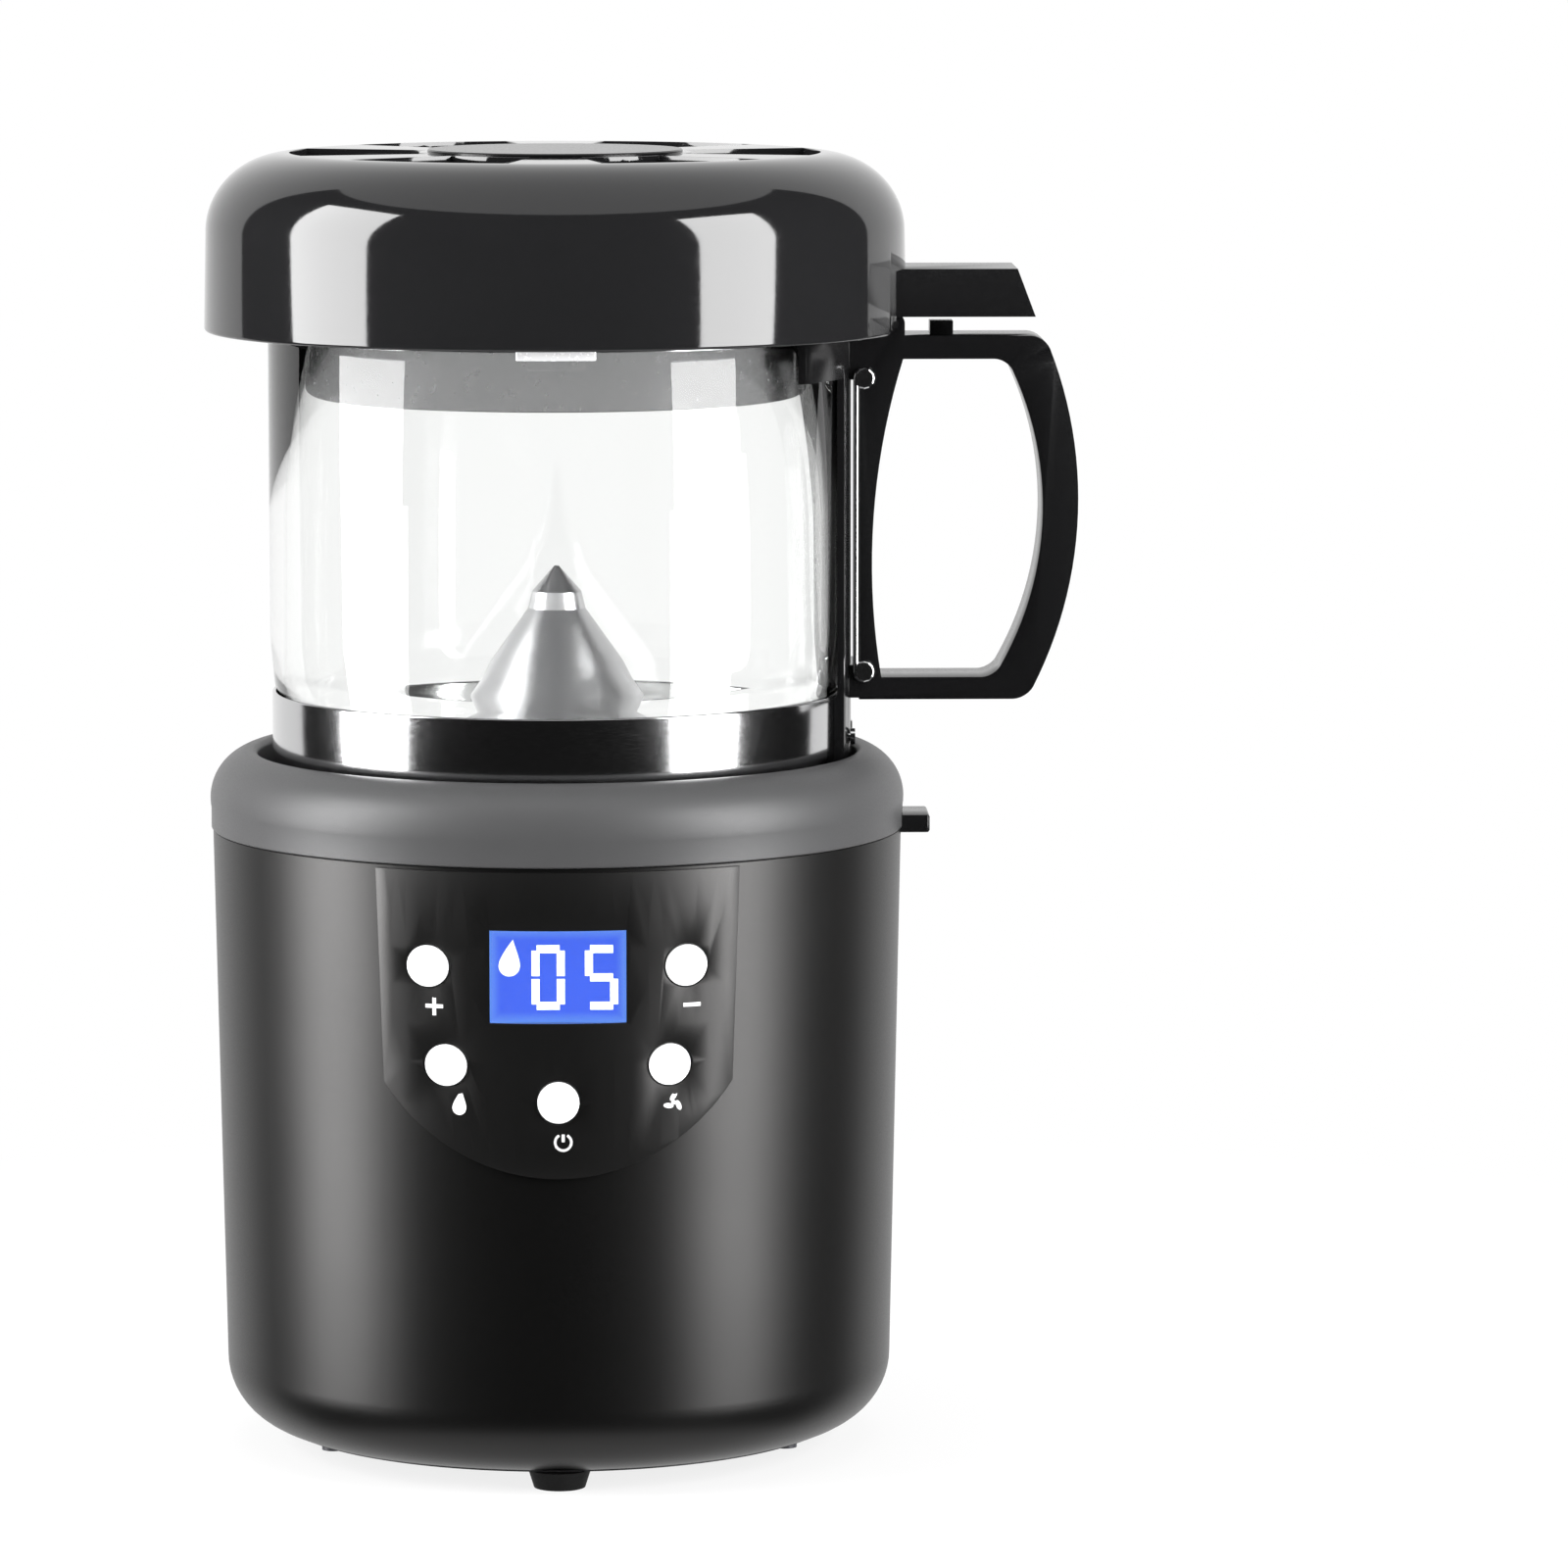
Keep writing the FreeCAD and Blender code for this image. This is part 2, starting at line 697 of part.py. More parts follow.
def make_board_screws():
    back = board_y + board_t
    screws = []
    for x, z in board_screw_points:
        head = cyl_y(small_head_r, back, back + small_head_h, x, z)
        screws.append(fuse(head, cyl_y(small_screw_r, board_y - 4.8, back, x, z)))
    return group(screws)


def make_push_switches():
    top = button_back_y + button_flange_t + button_travel + gap_move
    return group(fuse(box(x - 3, x + 3, top + 1, board_y, z - 3, z + 3), cyl_y(1.6, top, board_y, x, z))
                 for x, z in buttons.values())


def make_button(x, z):
    face = body_solid(panel_proud + button_proud, body_top_z + 4)
    body = cyl_y(button_r, -95, button_back_y, x, z).common(face)
    return fuse(body, cyl_y(button_flange_r, button_back_y, button_back_y + button_flange_t, x, z))


# Release latch

def make_release_latch():
    half = latch_w / 2
    tab = box(latch_in_x, latch_out_x, -half, half, latch_z, latch_z + latch_t)
    ends = [e for e in tab.Edges if e.BoundBox.XMin > latch_out_x - 0.01]
    tab = tab.makeFillet(0.7, ends)
    ears = box(latch_ear_x, latch_ear_x + 5, -half - latch_ear, half + latch_ear, latch_z, latch_z + latch_t)
    nose = box(latch_in_x, latch_in_x + 2.5, -4.8, 4.8, latch_z + latch_t, cup_base_z - gap_move)
    return fuse(tab, ears, nose)


def make_latch_guide():
    half = latch_w / 2 + latch_ear + gap_move
    floor_z = latch_z - gap_move
    x0 = latch_in_x - latch_travel - spring_len
    x1 = latch_ear_x + 5
    floor = box(x0 - 2, x1, -half - guide_wall, half + guide_wall, floor_z - 2, floor_z)
    back = box(x0 - 2, x0, -half, half, floor_z, well_floor_low - duct_flange_t - 0.3)
    sides = [box(latch_in_x - 5, x1, y0, y0 + guide_wall, floor_z, well_floor_low)
             for y0 in (-half - guide_wall, half)]
    guide = fuse(floor, back, *sides)
    return cut(guide, *[cyl(small_screw_r, floor_z, well_floor_low + 1, x, y) for x, y in guide_screw_points])


def make_guide_screws():
    return group(screw_down(x, y, well_floor_z, small_screw_r, small_head_r, small_head_h, 6)
                 for x, y in guide_screw_points)


def make_latch_spring():
    x0 = latch_in_x - latch_travel - spring_len
    z = latch_z + latch_t / 2
    steps = 6 * spring_turns
    pitch = (latch_in_x - x0 - 2 * spring_wire_r) / steps
    points = []
    for i in range(steps + 1):
        y, dz = polar(spring_r, 60 * i)
        points.append(V(x0 + spring_wire_r + pitch * i, y, z + dz))
    return wire_through(points, spring_wire_r)


# Roasting chamber

def make_cup():
    r0 = cup_r
    z0 = cup_base_z
    c = cup_round
    w = cup_wall
    corner = (r0 - c, z0 + c)
    k = cos(pi / 4)
    edges = [arc3((corner[0], z0), (corner[0] + c * k, corner[1] - c * k), (r0, corner[1])),
             arc3((corner[0], z0 + w), (corner[0] + (c - w) * k, corner[1] - (c - w) * k), (r0 - w, corner[1]))]
    shelf = floor_plate_z
    edges += lines([(r0, z0 + c), (r0, cup_top_z), (r0 - w, cup_top_z), (r0 - w, shelf), (r0 - w - 4, shelf),
                    (r0 - w - 4, shelf - w), (r0 - w, shelf - w - 2), (r0 - w, z0 + c)])
    edges += lines([(r0 - c, z0 + w), (spigot_r - w, z0 + w), (spigot_r - w, spigot_z), (spigot_r, spigot_z),
                    (spigot_r, z0), (r0 - c, z0)])
    return cut(spin(edges), *[cyl_x(small_screw_r, 60, cup_r + 5, y, rivet_z) for y in (-rivet_y, rivet_y)])


def make_chamber_floor():
    plate = cyl(cup_r - cup_wall - 0.1, floor_plate_z, floor_plate_z + floor_plate_t)
    slot = box(32, 58, -1.1, 1.1, floor_plate_z - 1, floor_plate_z + 3)
    slots = around(slot, [15 * i for i in range(24)])
    return cut(plate, cyl(2.0, 0, 300), *slots)


def make_air_cone():
    z0 = floor_plate_z + floor_plate_t
    tip = cone_tip_z
    step_z = tip - cone_core_r
    profile = [(0, z0), (cone_base_r, z0), (cone_base_r, z0 + 1.2), (cone_core_r + 1, step_z - 4),
               (cone_core_r, step_z), (0.6, tip), (0, tip)]
    return spin_points(profile).cut(cyl(2.0, z0 - 1, z0 + 10))


def make_cone_screw():
    return screw_up(0, 0, floor_plate_z, 2.0, 4.0, 2.0, 9.0)


def make_glass():
    seat = floor_plate_z + floor_plate_t + 1.6
    low = cup_r - cup_wall - gap_slip
    return spin_points([(glass_in_r, seat), (low, seat), (low, cup_top_z + 0.3), (glass_low_r, cup_top_z + 1.4),
                        (glass_r, cup_top_z + 14), (glass_r, glass_top_z - 0.8), (glass_r - 0.8, glass_top_z),
                        (glass_in_r + 0.6, glass_top_z), (glass_in_r, glass_top_z - 0.6)])


def make_glass_seal():
    z0 = floor_plate_z + floor_plate_t
    return ring(cup_r - cup_wall - 0.1, glass_in_r - 1.0, z0, z0 + 1.6)


def sector(r0, r1, half_w, z0, z1):
    return ring(r1, r0, z0, z1).common(box(0, 200, -half_w, half_w, z0 - 1, z1 + 1))


def y_arc(a, m, b, y0):
    return Part.Arc(V(a[0], y0, a[1]), V(m[0], y0, m[1]), V(b[0], y0, b[1])).toShape()


def prism_from(edges, depth):
    return Part.Face(Part.Wire(Part.__sortEdges__(edges))).extrude(V(0, depth, 0))


def handle_profile(y0, depth):
    # closed outline of the D-shaped frame, then its finger hole
    top = top_bar_z + top_bar_t
    low = low_bar_z
    grip = y_arc((grip_top_x, top), (grip_mid_x, grip_mid_z), (grip_low_x, low), y0)
    rest = [V(grip_low_x, y0, low), V(member_x, y0, low), V(member_x, y0, top), V(grip_top_x, y0, top)]
    outline = prism_from([grip] + [Part.makeLine(a, b) for a, b in zip(rest, rest[1:])], depth)
    top = top_bar_z
    low = low_bar_z + low_bar_t
    inner = y_arc((hole_top_x, top), (grip_mid_x - grip_t, grip_mid_z), (hole_low_x, low), y0)
    middle = (hole_member_mid_x, hole_member_mid_z)
    member = y_arc((hole_member_low_x, low), middle, (hole_member_top_x, top), y0)
    sides = [Part.makeLine(V(hole_member_top_x, y0, top), V(hole_top_x, y0, top)),
             Part.makeLine(V(hole_low_x, y0, low), V(hole_member_low_x, y0, low))]
    return outline.cut(prism_from([inner, member] + sides, depth))


def make_handle():
    half = handle_w / 2
    top = top_bar_z + top_bar_t
    out_r = strap_in_r + strap_t
    frame = handle_profile(-half, handle_w)
    necks = [box(glass_r - 2, member_x + 1, -half, half, z0, z1)
             for z0, z1 in ((top_bar_z - 5, top), (grip_block_low_z, grip_block_top_z))]
    frame = fuse(frame, *necks).cut(cyl(out_r - 0.4, 100, 300))
    strap = sector(strap_in_r, out_r, strap_half_w, strap_low_z, top)
    pad = sector(cup_r + 0.05, out_r, strap_half_w, strap_low_z, cup_top_z - 0.4)
    collar = sector(strap_in_r, out_r, collar_half_w, top - collar_h, top)
    stud = box(stud_x, stud_x + stud_len, -4, 4, top - 0.2, top + stud_h)
    ears = []
    for y0 in (-half, half - ear_t):
        ears.append(cyl_y(knuckle_r, y0, y0 + ear_t, hinge_x, hinge_z))
        ears.append(box(hinge_x - knuckle_r, hinge_x + knuckle_r, y0, y0 + ear_t, top - 1, hinge_z))
    handle = fuse(frame, strap, pad, collar, stud, *ears)
    holes = [cyl_y(pin_r, -handle_w, handle_w, hinge_x, hinge_z)]
    holes += [cyl_x(small_screw_r, 60, out_r + 5, y, rivet_z) for y in (-rivet_y, rivet_y)]
    eye_x = wire_x + wire_eye_r
    holes += [cyl_y(small_screw_r, -half - 1, -half + 5, eye_x, z) for z in (wire_low_z, wire_top_z)]
    return cut(handle, *holes)


def make_handle_rivets():
    out_r = strap_in_r + strap_t
    rivets = []
    for y in (-rivet_y, rivet_y):
        shank = cyl_x(small_screw_r, sqrt((cup_r - cup_wall) ** 2 - y * y), out_r + 0.2, y, rivet_z)
        head = cyl_x(small_head_r, sqrt(out_r ** 2 - (abs(y) - small_head_r) ** 2), out_r + 0.7, y, rivet_z)
        rivets.append(fuse(shank, head))
    return group(rivets)


def make_clamp_band():
    z0 = top_bar_z + top_bar_t + 0.1
    return ring(glass_r + 0.7, glass_r + 0.05, z0, z0 + 2.6)


def make_tension_wire():
    # one wire with an eye round a screw at each end
    x = wire_x + wire_eye_r
    turn = [radians(30 * i) for i in range(12)]
    low = [V(x - wire_eye_r * cos(t), wire_y, wire_low_z - wire_eye_r * sin(t)) for t in reversed(turn)]
    top = [V(x - wire_eye_r * cos(t), wire_y, wire_top_z + wire_eye_r * sin(t)) for t in turn]
    return wire_through(low + top, wire_r)


def make_wire_screws():
    half = handle_w / 2
    screws = []
    for z in (wire_low_z, wire_top_z):
        x = wire_x + wire_eye_r
        screws.append(fuse(cyl_y(small_screw_r, wire_y - wire_r - 0.1, -half + 4, x, z),
                           cyl_y(small_head_r, wire_y - wire_r - 0.9, wire_y - wire_r - 0.1, x, z)))
    return group(screws)


def make_hinge_pin():
    half = handle_w / 2
    return cyl_y(pin_r, -half - 0.3, half + 0.3, hinge_x, hinge_z)


# Lid

def lid_outline(offset):
    # quarter oval from the shoulder to the flat top
    out_r = shoulder_r - offset
    top = lid_top_z - offset
    points = []
    for i in range(9):
        t = radians(90 * i / 8)
        z = shoulder_z + (top - shoulder_z) * sin(t)
        points.append(V(dome_flat_r + (out_r - dome_flat_r) * cos(t), 0, z))
    curve = Part.BSplineCurve()
    curve.interpolate(points, InitialTangent=V(0, 0, 1), FinalTangent=V(-1, 0, 0))
    return curve.toShape()


def wedge_cut(half_angle, reach=120):
    x = reach * cos(radians(half_angle))
    y = reach * sin(radians(half_angle))
    z = shoulder_z
    corners = [V(0, 0, z), V(x, -y, z), V(x, y, z), V(0, 0, z)]
    return Part.Face(Part.makePolygon(corners)).extrude(V(0, 0, 40))


def make_lid_shell():
    edges = [lid_outline(0), lid_outline(lid_wall)]
    edges += lines([(dome_flat_r, lid_top_z), (hub_r - 3, lid_top_z), (hub_r - 3, lid_top_z - lid_wall),
                    (dome_flat_r, lid_top_z - lid_wall)])
    edges += lines([(shoulder_r - lid_wall, shoulder_z), (rim_r - lid_wall, rim_z), (rim_r, rim_z),
                    (shoulder_r, shoulder_z)])
    shell = spin(edges)
    dome = spin([lid_outline(lid_wall)] + lines([(dome_flat_r, lid_top_z - lid_wall), (0, lid_top_z - lid_wall),
                                                 (0, shoulder_z), (shoulder_r - lid_wall, shoulder_z)]))
    drum = cyl(shoulder_r - lid_wall, rim_z - 3, shoulder_z)
    inside = fuse(dome, drum)
    bosses = [cyl(boss_r, neck_plate_z + neck_wall, lid_top_z, *polar(lid_boss_r, a)).common(inside)
              for a in lid_boss_angles]
    shell = fuse(shell, *bosses)
    vent = ring(vent_out_r, vent_in_r, shoulder_z, lid_top_z + 10).common(wedge_cut(vent_half_deg))
    chord = box(chord_x, rim_r + 10, -60, 60, rim_z - 10, lever_top_z)
    holes = [cyl(screw_r, rim_z, neck_plate_z + 9, *polar(lid_boss_r, a)) for a in lid_boss_angles]
    return cut(shell, chord, *(around(vent, [360 / vent_count * i for i in range(vent_count)]) + holes))


def make_vent_hub():
    disc = cyl(hub_r, lid_top_z, lid_top_z + hub_proud)
    return fuse(disc, cyl(hub_r - 3 - gap_slip, lid_top_z - lid_wall, lid_top_z))


def make_lid_neck():
    tube = ring(neck_r, neck_r - neck_wall, neck_low_z, neck_plate_z)
    plate_r_out = rim_r - lid_wall - clip_t - neck_plate_gap
    plate = ring(plate_r_out, neck_r - neck_wall, neck_plate_z, neck_plate_z + neck_wall)
    plate = plate.cut(box(chord_x - 3, rim_r + 10, -60, 60, neck_plate_z - 1, neck_plate_z + 10))
    holes = [cyl(screw_r, neck_plate_z - 1, neck_plate_z + 5, *polar(lid_boss_r, a)) for a in lid_boss_angles]
    return cut(fuse(tube, plate), *holes)


def make_lid_seal():
    return ring(glass_r + 0.6, glass_in_r + 0.4, glass_top_z + glass_seat_gap, neck_plate_z)


def make_lid_screws():
    return group(screw_up(*polar(lid_boss_r, a), neck_plate_z, screw_r, screw_head_r, screw_head_h, 9)
                 for a in lid_boss_angles)


def make_chaff_screen():
    z0 = neck_plate_z + neck_wall
    plate = cyl(neck_r + 3, z0, z0 + 0.8)
    slots = []
    for row_r in (12, 24, 36, 48, 59):
        count = int(row_r * 0.8)
        slot = box(row_r - 3.6, row_r + 3.0, -1.3, 1.3, z0 - 1, z0 + 2)
        slots += around(slot, [360 * i / count for i in range(count)])
    return cut(plate, *slots)


def make_lid_lever():
    half = handle_w / 2 + 0.6
    x0 = chord_x
    side = [(x0, lever_top_z), (lever_top_x, lever_top_z), (lever_tip_x, lever_low_z), (x0, lever_low_z)]
    cheeks = [prism_y(side, y0, y0 + lever_wall) for y0 in (-half - lever_wall, half)]
    web_z = lever_top_z - lever_web_t
    corners = [(x0, lever_top_z), (lever_top_x, lever_top_z), (lever_top_x + 0.9, web_z), (x0, web_z)]
    web = prism_y(corners, -half - 1, half + 1)
    plate = box(x0, x0 + lever_plate_t, -lever_plate_half, lever_plate_half, rim_z + 0.8, lever_top_z)
    plate = plate.common(cyl(shoulder_r - 0.3, rim_z - 5, shoulder_z))
    barrel_half = handle_w / 2 - ear_t - gap_move
    barrel = cyl_y(knuckle_r, -barrel_half, barrel_half, hinge_x, hinge_z)
    tie = box(x0, hinge_x + 1.5, -barrel_half, barrel_half, hinge_z, lever_low_z + 2)
    lever = fuse(plate, web, *cheeks)
    ear_room = [cyl_y(knuckle_r + 0.5, y0, y0 + ear_t + 2 * gap_move + 0.5, hinge_x, hinge_z)
                for y0 in (-half, barrel_half)]
    ear_room += [box(hinge_x - 12, hinge_x + 10, y0, y0 + ear_t + 2 * gap_move + 0.5, hinge_z - 15, hinge_z)
                 for y0 in (-half, barrel_half)]
    lever = cut(lever, *ear_room)
    lever = fuse(lever, barrel, tie)
    return lever.cut(cyl_y(pin_r + shaft_clear, -30, 30, hinge_x, hinge_z))


def make_lid_clip():
    # chrome catch inside the rim at the front
    run = (rim_r - shoulder_r) / (shoulder_z - rim_z)
    z0 = rim_z - clip_drop
    z1 = rim_z + clip_rise
    wall_r = rim_r - lid_wall
    top_r = wall_r - run * clip_rise
    inner = [(top_r - clip_t, z1), (wall_r - clip_t, z0)]
    blade = spin_points([(wall_r, z0), (wall_r, rim_z), (top_r, z1)] + inner)
    return blade.common(box(-clip_half_w, clip_half_w, -100, 0, 200, 300))


nodes = {
    "body_shell": make_body_shell, "bottom_plate": make_bottom_plate, "rubber_feet": make_feet,
    "foot_screws": make_foot_screws, "tie_screws": make_tie_screws, "tie_rods": make_tie_rods,
    "base_cap": make_base_cap, "seat_seal": make_seat_seal, "blower_housing": make_blower_housing,
    "housing_screws": make_housing_screws, "motor_bracket": make_motor_bracket,
    "bracket_screws": make_bracket_screws, "fan_motor": make_motor, "motor_shaft": make_motor_shaft,
    "fan_impeller": make_impeller, "air_duct": make_air_duct, "duct_screws": make_duct_screws,
    "heater_former": make_heater_former, "heating_coil": make_heating_coil, "thermostat": make_thermostat,
    "thermal_fuse": make_thermal_fuse, "power_board": make_power_board, "power_parts": make_power_parts,
    "cord_grommet": make_cord_grommet, "control_panel": make_control_panel, "display_lens": make_display_lens,
    "display_module": make_display_module, "display_holder": make_display_holder,
    "control_board": make_control_board, "board_screws": make_board_screws, "push_switches": make_push_switches,
    "release_latch": make_release_latch, "latch_guide": make_latch_guide, "guide_screws": make_guide_screws,
    "latch_spring": make_latch_spring, "chamber_cup": make_cup, "chamber_floor": make_chamber_floor,
    "air_cone": make_air_cone, "cone_screw": make_cone_screw, "glass_cylinder": make_glass,
    "glass_seal": make_glass_seal, "handle": make_handle, "handle_rivets": make_handle_rivets,
    "clamp_band": make_clamp_band, "tension_wire": make_tension_wire, "wire_screws": make_wire_screws,
    "hinge_pin": make_hinge_pin, "lid_shell": make_lid_shell, "vent_hub": make_vent_hub,
    "lid_neck": make_lid_neck, "lid_seal": make_lid_seal, "lid_screws": make_lid_screws,
    "chaff_screen": make_chaff_screen, "lid_lever": make_lid_lever, "lid_clip": make_lid_clip,
}
for name, (x, z) in buttons.items():
    nodes[name] = lambda x=x, z=z: make_button(x, z)

os.makedirs("parts", exist_ok=True)
for name, make in nodes.items():
    shape = make()
    if not shape.isValid():
        print("not valid:", name)
    shape.translate(V(-outline_mid_x, 0, 0))
    shape.exportStep("parts/" + name + ".step")
    b = shape.BoundBox
    print(f"{name:18s} {len(shape.Solids):2d} solids {shape.Volume:10.1f} mm3",
          f"x {b.XMin:7.1f} {b.XMax:7.1f} y {b.YMin:7.1f} {b.YMax:7.1f} z {b.ZMin:6.1f} {b.ZMax:6.1f}")
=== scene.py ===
from math import asin, atan, cos, pi, radians, sin, sqrt

import bpy
from mathutils import Matrix, Vector


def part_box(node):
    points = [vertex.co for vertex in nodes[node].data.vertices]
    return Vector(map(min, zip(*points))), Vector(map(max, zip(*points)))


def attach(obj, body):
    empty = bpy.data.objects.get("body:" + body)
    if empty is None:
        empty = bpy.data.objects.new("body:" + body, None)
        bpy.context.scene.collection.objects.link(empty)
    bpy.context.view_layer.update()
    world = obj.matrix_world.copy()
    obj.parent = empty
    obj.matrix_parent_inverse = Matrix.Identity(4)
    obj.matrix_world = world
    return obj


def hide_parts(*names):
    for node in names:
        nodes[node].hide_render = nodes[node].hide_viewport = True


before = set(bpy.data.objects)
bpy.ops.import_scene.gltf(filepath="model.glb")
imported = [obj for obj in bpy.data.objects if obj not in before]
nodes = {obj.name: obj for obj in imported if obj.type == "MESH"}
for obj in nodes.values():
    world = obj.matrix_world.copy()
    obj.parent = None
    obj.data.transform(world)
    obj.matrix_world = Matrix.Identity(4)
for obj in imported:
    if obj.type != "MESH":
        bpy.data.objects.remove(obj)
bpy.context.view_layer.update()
mm = 0.001
print("frame loaded:", len(nodes), "nodes")


# camera, at the photograph's angle: nearly level, a little to the left of the picture's middle
axisX = -0.02074
view = {
    "distance": 1.956, "height": 0.400, "aimHeight": 0.1617,
    "focalPixels": 8200, "imagePixels": 1600, "axisPixel": 567, "sensor": 36,
}


def addCamera():
    data = bpy.data.cameras.new("camera")
    data.sensor_width = view["sensor"]
    data.lens = view["focalPixels"] / view["imagePixels"] * view["sensor"]
    camera = bpy.data.objects.new("camera", data)
    bpy.context.scene.collection.objects.link(camera)
    camera.location = (axisX, -view["distance"], view["height"])
    pitch = atan((view["height"] - view["aimHeight"]) / view["distance"])
    yaw = atan((view["imagePixels"] / 2 - view["axisPixel"]) / view["focalPixels"])
    camera.rotation_euler = (pi / 2 - pitch, 0, -yaw)
    bpy.context.scene.camera = camera


addCamera()
bpy.context.scene.view_settings.view_transform = "Standard"


# lights: two tall softboxes beside the camera, one large soft light above
studio = {
    "floorSize": 8.0, "floorColor": 0.86, "floorWhite": 0.82,
    "worldFill": 0.55, "cardLevel": 0.012, "cardBack": 1.3,
    "boxes": [
        {"name": "softboxLeft", "angle": -78, "reach": 1.25, "z": 0.46, "w": 0.72, "h": 1.5, "power": 42},
        {"name": "softboxRight", "angle": 60, "reach": 1.35, "z": 0.46, "w": 0.70, "h": 1.5, "power": 42},
    ],
    "top": {"z": 1.7, "size": 1.2, "power": 9},
}


def addLights():
    for box in studio["boxes"]:
        data = bpy.data.lights.new(box["name"], "AREA")
        data.shape = "RECTANGLE"
        data.size = box["w"]
        data.size_y = box["h"]
        data.energy = box["power"]
        lamp = bpy.data.objects.new(box["name"], data)
        bpy.context.scene.collection.objects.link(lamp)
        a = radians(box["angle"])
        lamp.location = (box["reach"] * sin(a), -box["reach"] * cos(a), box["z"])
        lamp.rotation_euler = (Vector((0, 0, 0.2)) - lamp.location).to_track_quat("-Z", "Y").to_euler()
    data = bpy.data.lights.new("topLight", "AREA")
    data.size = studio["top"]["size"]
    data.energy = studio["top"]["power"]
    lamp = bpy.data.objects.new("topLight", data)
    bpy.context.scene.collection.objects.link(lamp)
    lamp.location = (0, 0.1, studio["top"]["z"])
    lamp.visible_glossy = False


def rayMask(tree):
    # 1 for rays from the camera, from gloss and through glass
    path = tree.nodes.new("ShaderNodeLightPath")
    first = tree.nodes.new("ShaderNodeMath")
    first.operation = "MAXIMUM"
    tree.links.new(path.outputs["Is Camera Ray"], first.inputs[0])
    tree.links.new(path.outputs["Is Glossy Ray"], first.inputs[1])
    second = tree.nodes.new("ShaderNodeMath")
    second.operation = "MAXIMUM"
    tree.links.new(first.outputs[0], second.inputs[0])
    tree.links.new(path.outputs["Is Transmission Ray"], second.inputs[1])
    return second.outputs[0]


def addWorld():
    world = bpy.data.worlds.new("studioWhite")
    bpy.context.scene.world = world
    world.use_nodes = True
    tree = world.node_tree
    tree.nodes.clear()
    out = tree.nodes.new("ShaderNodeOutputWorld")
    white = tree.nodes.new("ShaderNodeBackground")
    white.inputs["Strength"].default_value = 1.0
    fill = tree.nodes.new("ShaderNodeBackground")
    fill.inputs["Strength"].default_value = studio["worldFill"]
    fill.inputs["Color"].default_value = (1, 1, 1, 1)
    white.inputs["Color"].default_value = (1, 1, 1, 1)
    mix = tree.nodes.new("ShaderNodeMixShader")
    tree.links.new(rayMask(tree), mix.inputs["Fac"])
    tree.links.new(fill.outputs[0], mix.inputs[1])
    tree.links.new(white.outputs[0], mix.inputs[2])
    tree.links.new(mix.outputs[0], out.inputs["Surface"])


def addFloor():
    bpy.ops.mesh.primitive_plane_add(size=studio["floorSize"], location=(0, 0, 0))
    floor = bpy.context.object
    floor.name = "floor"
    mat = bpy.data.materials.new("floorWhite")
    mat.use_nodes = True
    tree = mat.node_tree
    tree.nodes.clear()
    out = tree.nodes.new("ShaderNodeOutputMaterial")
    plain = tree.nodes.new("ShaderNodeBsdfDiffuse")
    level = studio["floorColor"]
    plain.inputs["Color"].default_value = (level, level, level, 1)
    glow = tree.nodes.new("ShaderNodeEmission")
    place = tree.nodes.new("ShaderNodeTexCoord")
    reach = tree.nodes.new("ShaderNodeVectorMath")
    reach.operation = "LENGTH"
    tree.links.new(place.outputs["Object"], reach.inputs[0])
    fade = tree.nodes.new("ShaderNodeMapRange")
    fade.inputs["From Min"].default_value = 0.12
    fade.inputs["From Max"].default_value = 0.45
    fade.inputs["To Min"].default_value = studio["floorWhite"]
    fade.inputs["To Max"].default_value = 1.0
    tree.links.new(reach.outputs["Value"], fade.inputs["Value"])
    share = tree.nodes.new("ShaderNodeMath")
    share.operation = "MULTIPLY"
    tree.links.new(rayMask(tree), share.inputs[0])
    tree.links.new(fade.outputs[0], share.inputs[1])
    mix = tree.nodes.new("ShaderNodeMixShader")
    tree.links.new(share.outputs[0], mix.inputs["Fac"])
    tree.links.new(plain.outputs[0], mix.inputs[1])
    tree.links.new(glow.outputs[0], mix.inputs[2])
    tree.links.new(mix.outputs[0], out.inputs["Surface"])
    floor.data.materials.append(mat)
    floor.visible_glossy = False


def addDarkCard():
    # a dark half round behind the camera that only reflections see
    deselectAll()
    bpy.ops.mesh.primitive_cylinder_add(vertices=64, radius=2.4, depth=5.4, end_fill_type="NOTHING",
                                        location=(0, 0, 0.3))
    card = bpy.context.object
    bpy.ops.object.mode_set(mode="EDIT")
    bpy.ops.mesh.select_all(action="SELECT")
    bpy.ops.mesh.bisect(plane_co=(0, studio["cardBack"], 0), plane_no=(0, 1, 0), clear_outer=True)
    bpy.ops.object.mode_set(mode="OBJECT")
    card.name = "darkCard"
    mat = bpy.data.materials.new("darkCard")
    mat.use_nodes = True
    tree = mat.node_tree
    tree.nodes.clear()
    out = tree.nodes.new("ShaderNodeOutputMaterial")
    glow = tree.nodes.new("ShaderNodeEmission")
    glow.inputs["Color"].default_value = (1, 1, 1, 1)
    glow.inputs["Strength"].default_value = studio["cardLevel"]
    tree.links.new(glow.outputs[0], out.inputs["Surface"])
    card.data.materials.append(mat)
    card.visible_camera = False
    card.visible_diffuse = False
    card.visible_transmission = False
    card.visible_shadow = False
    card.visible_volume_scatter = False


def deselectAll():
    for thing in list(bpy.context.selected_objects):
        thing.select_set(False)


addLights()
addWorld()
addFloor()
addDarkCard()
print("camera and studio set")


# shader groups shared by the finishes

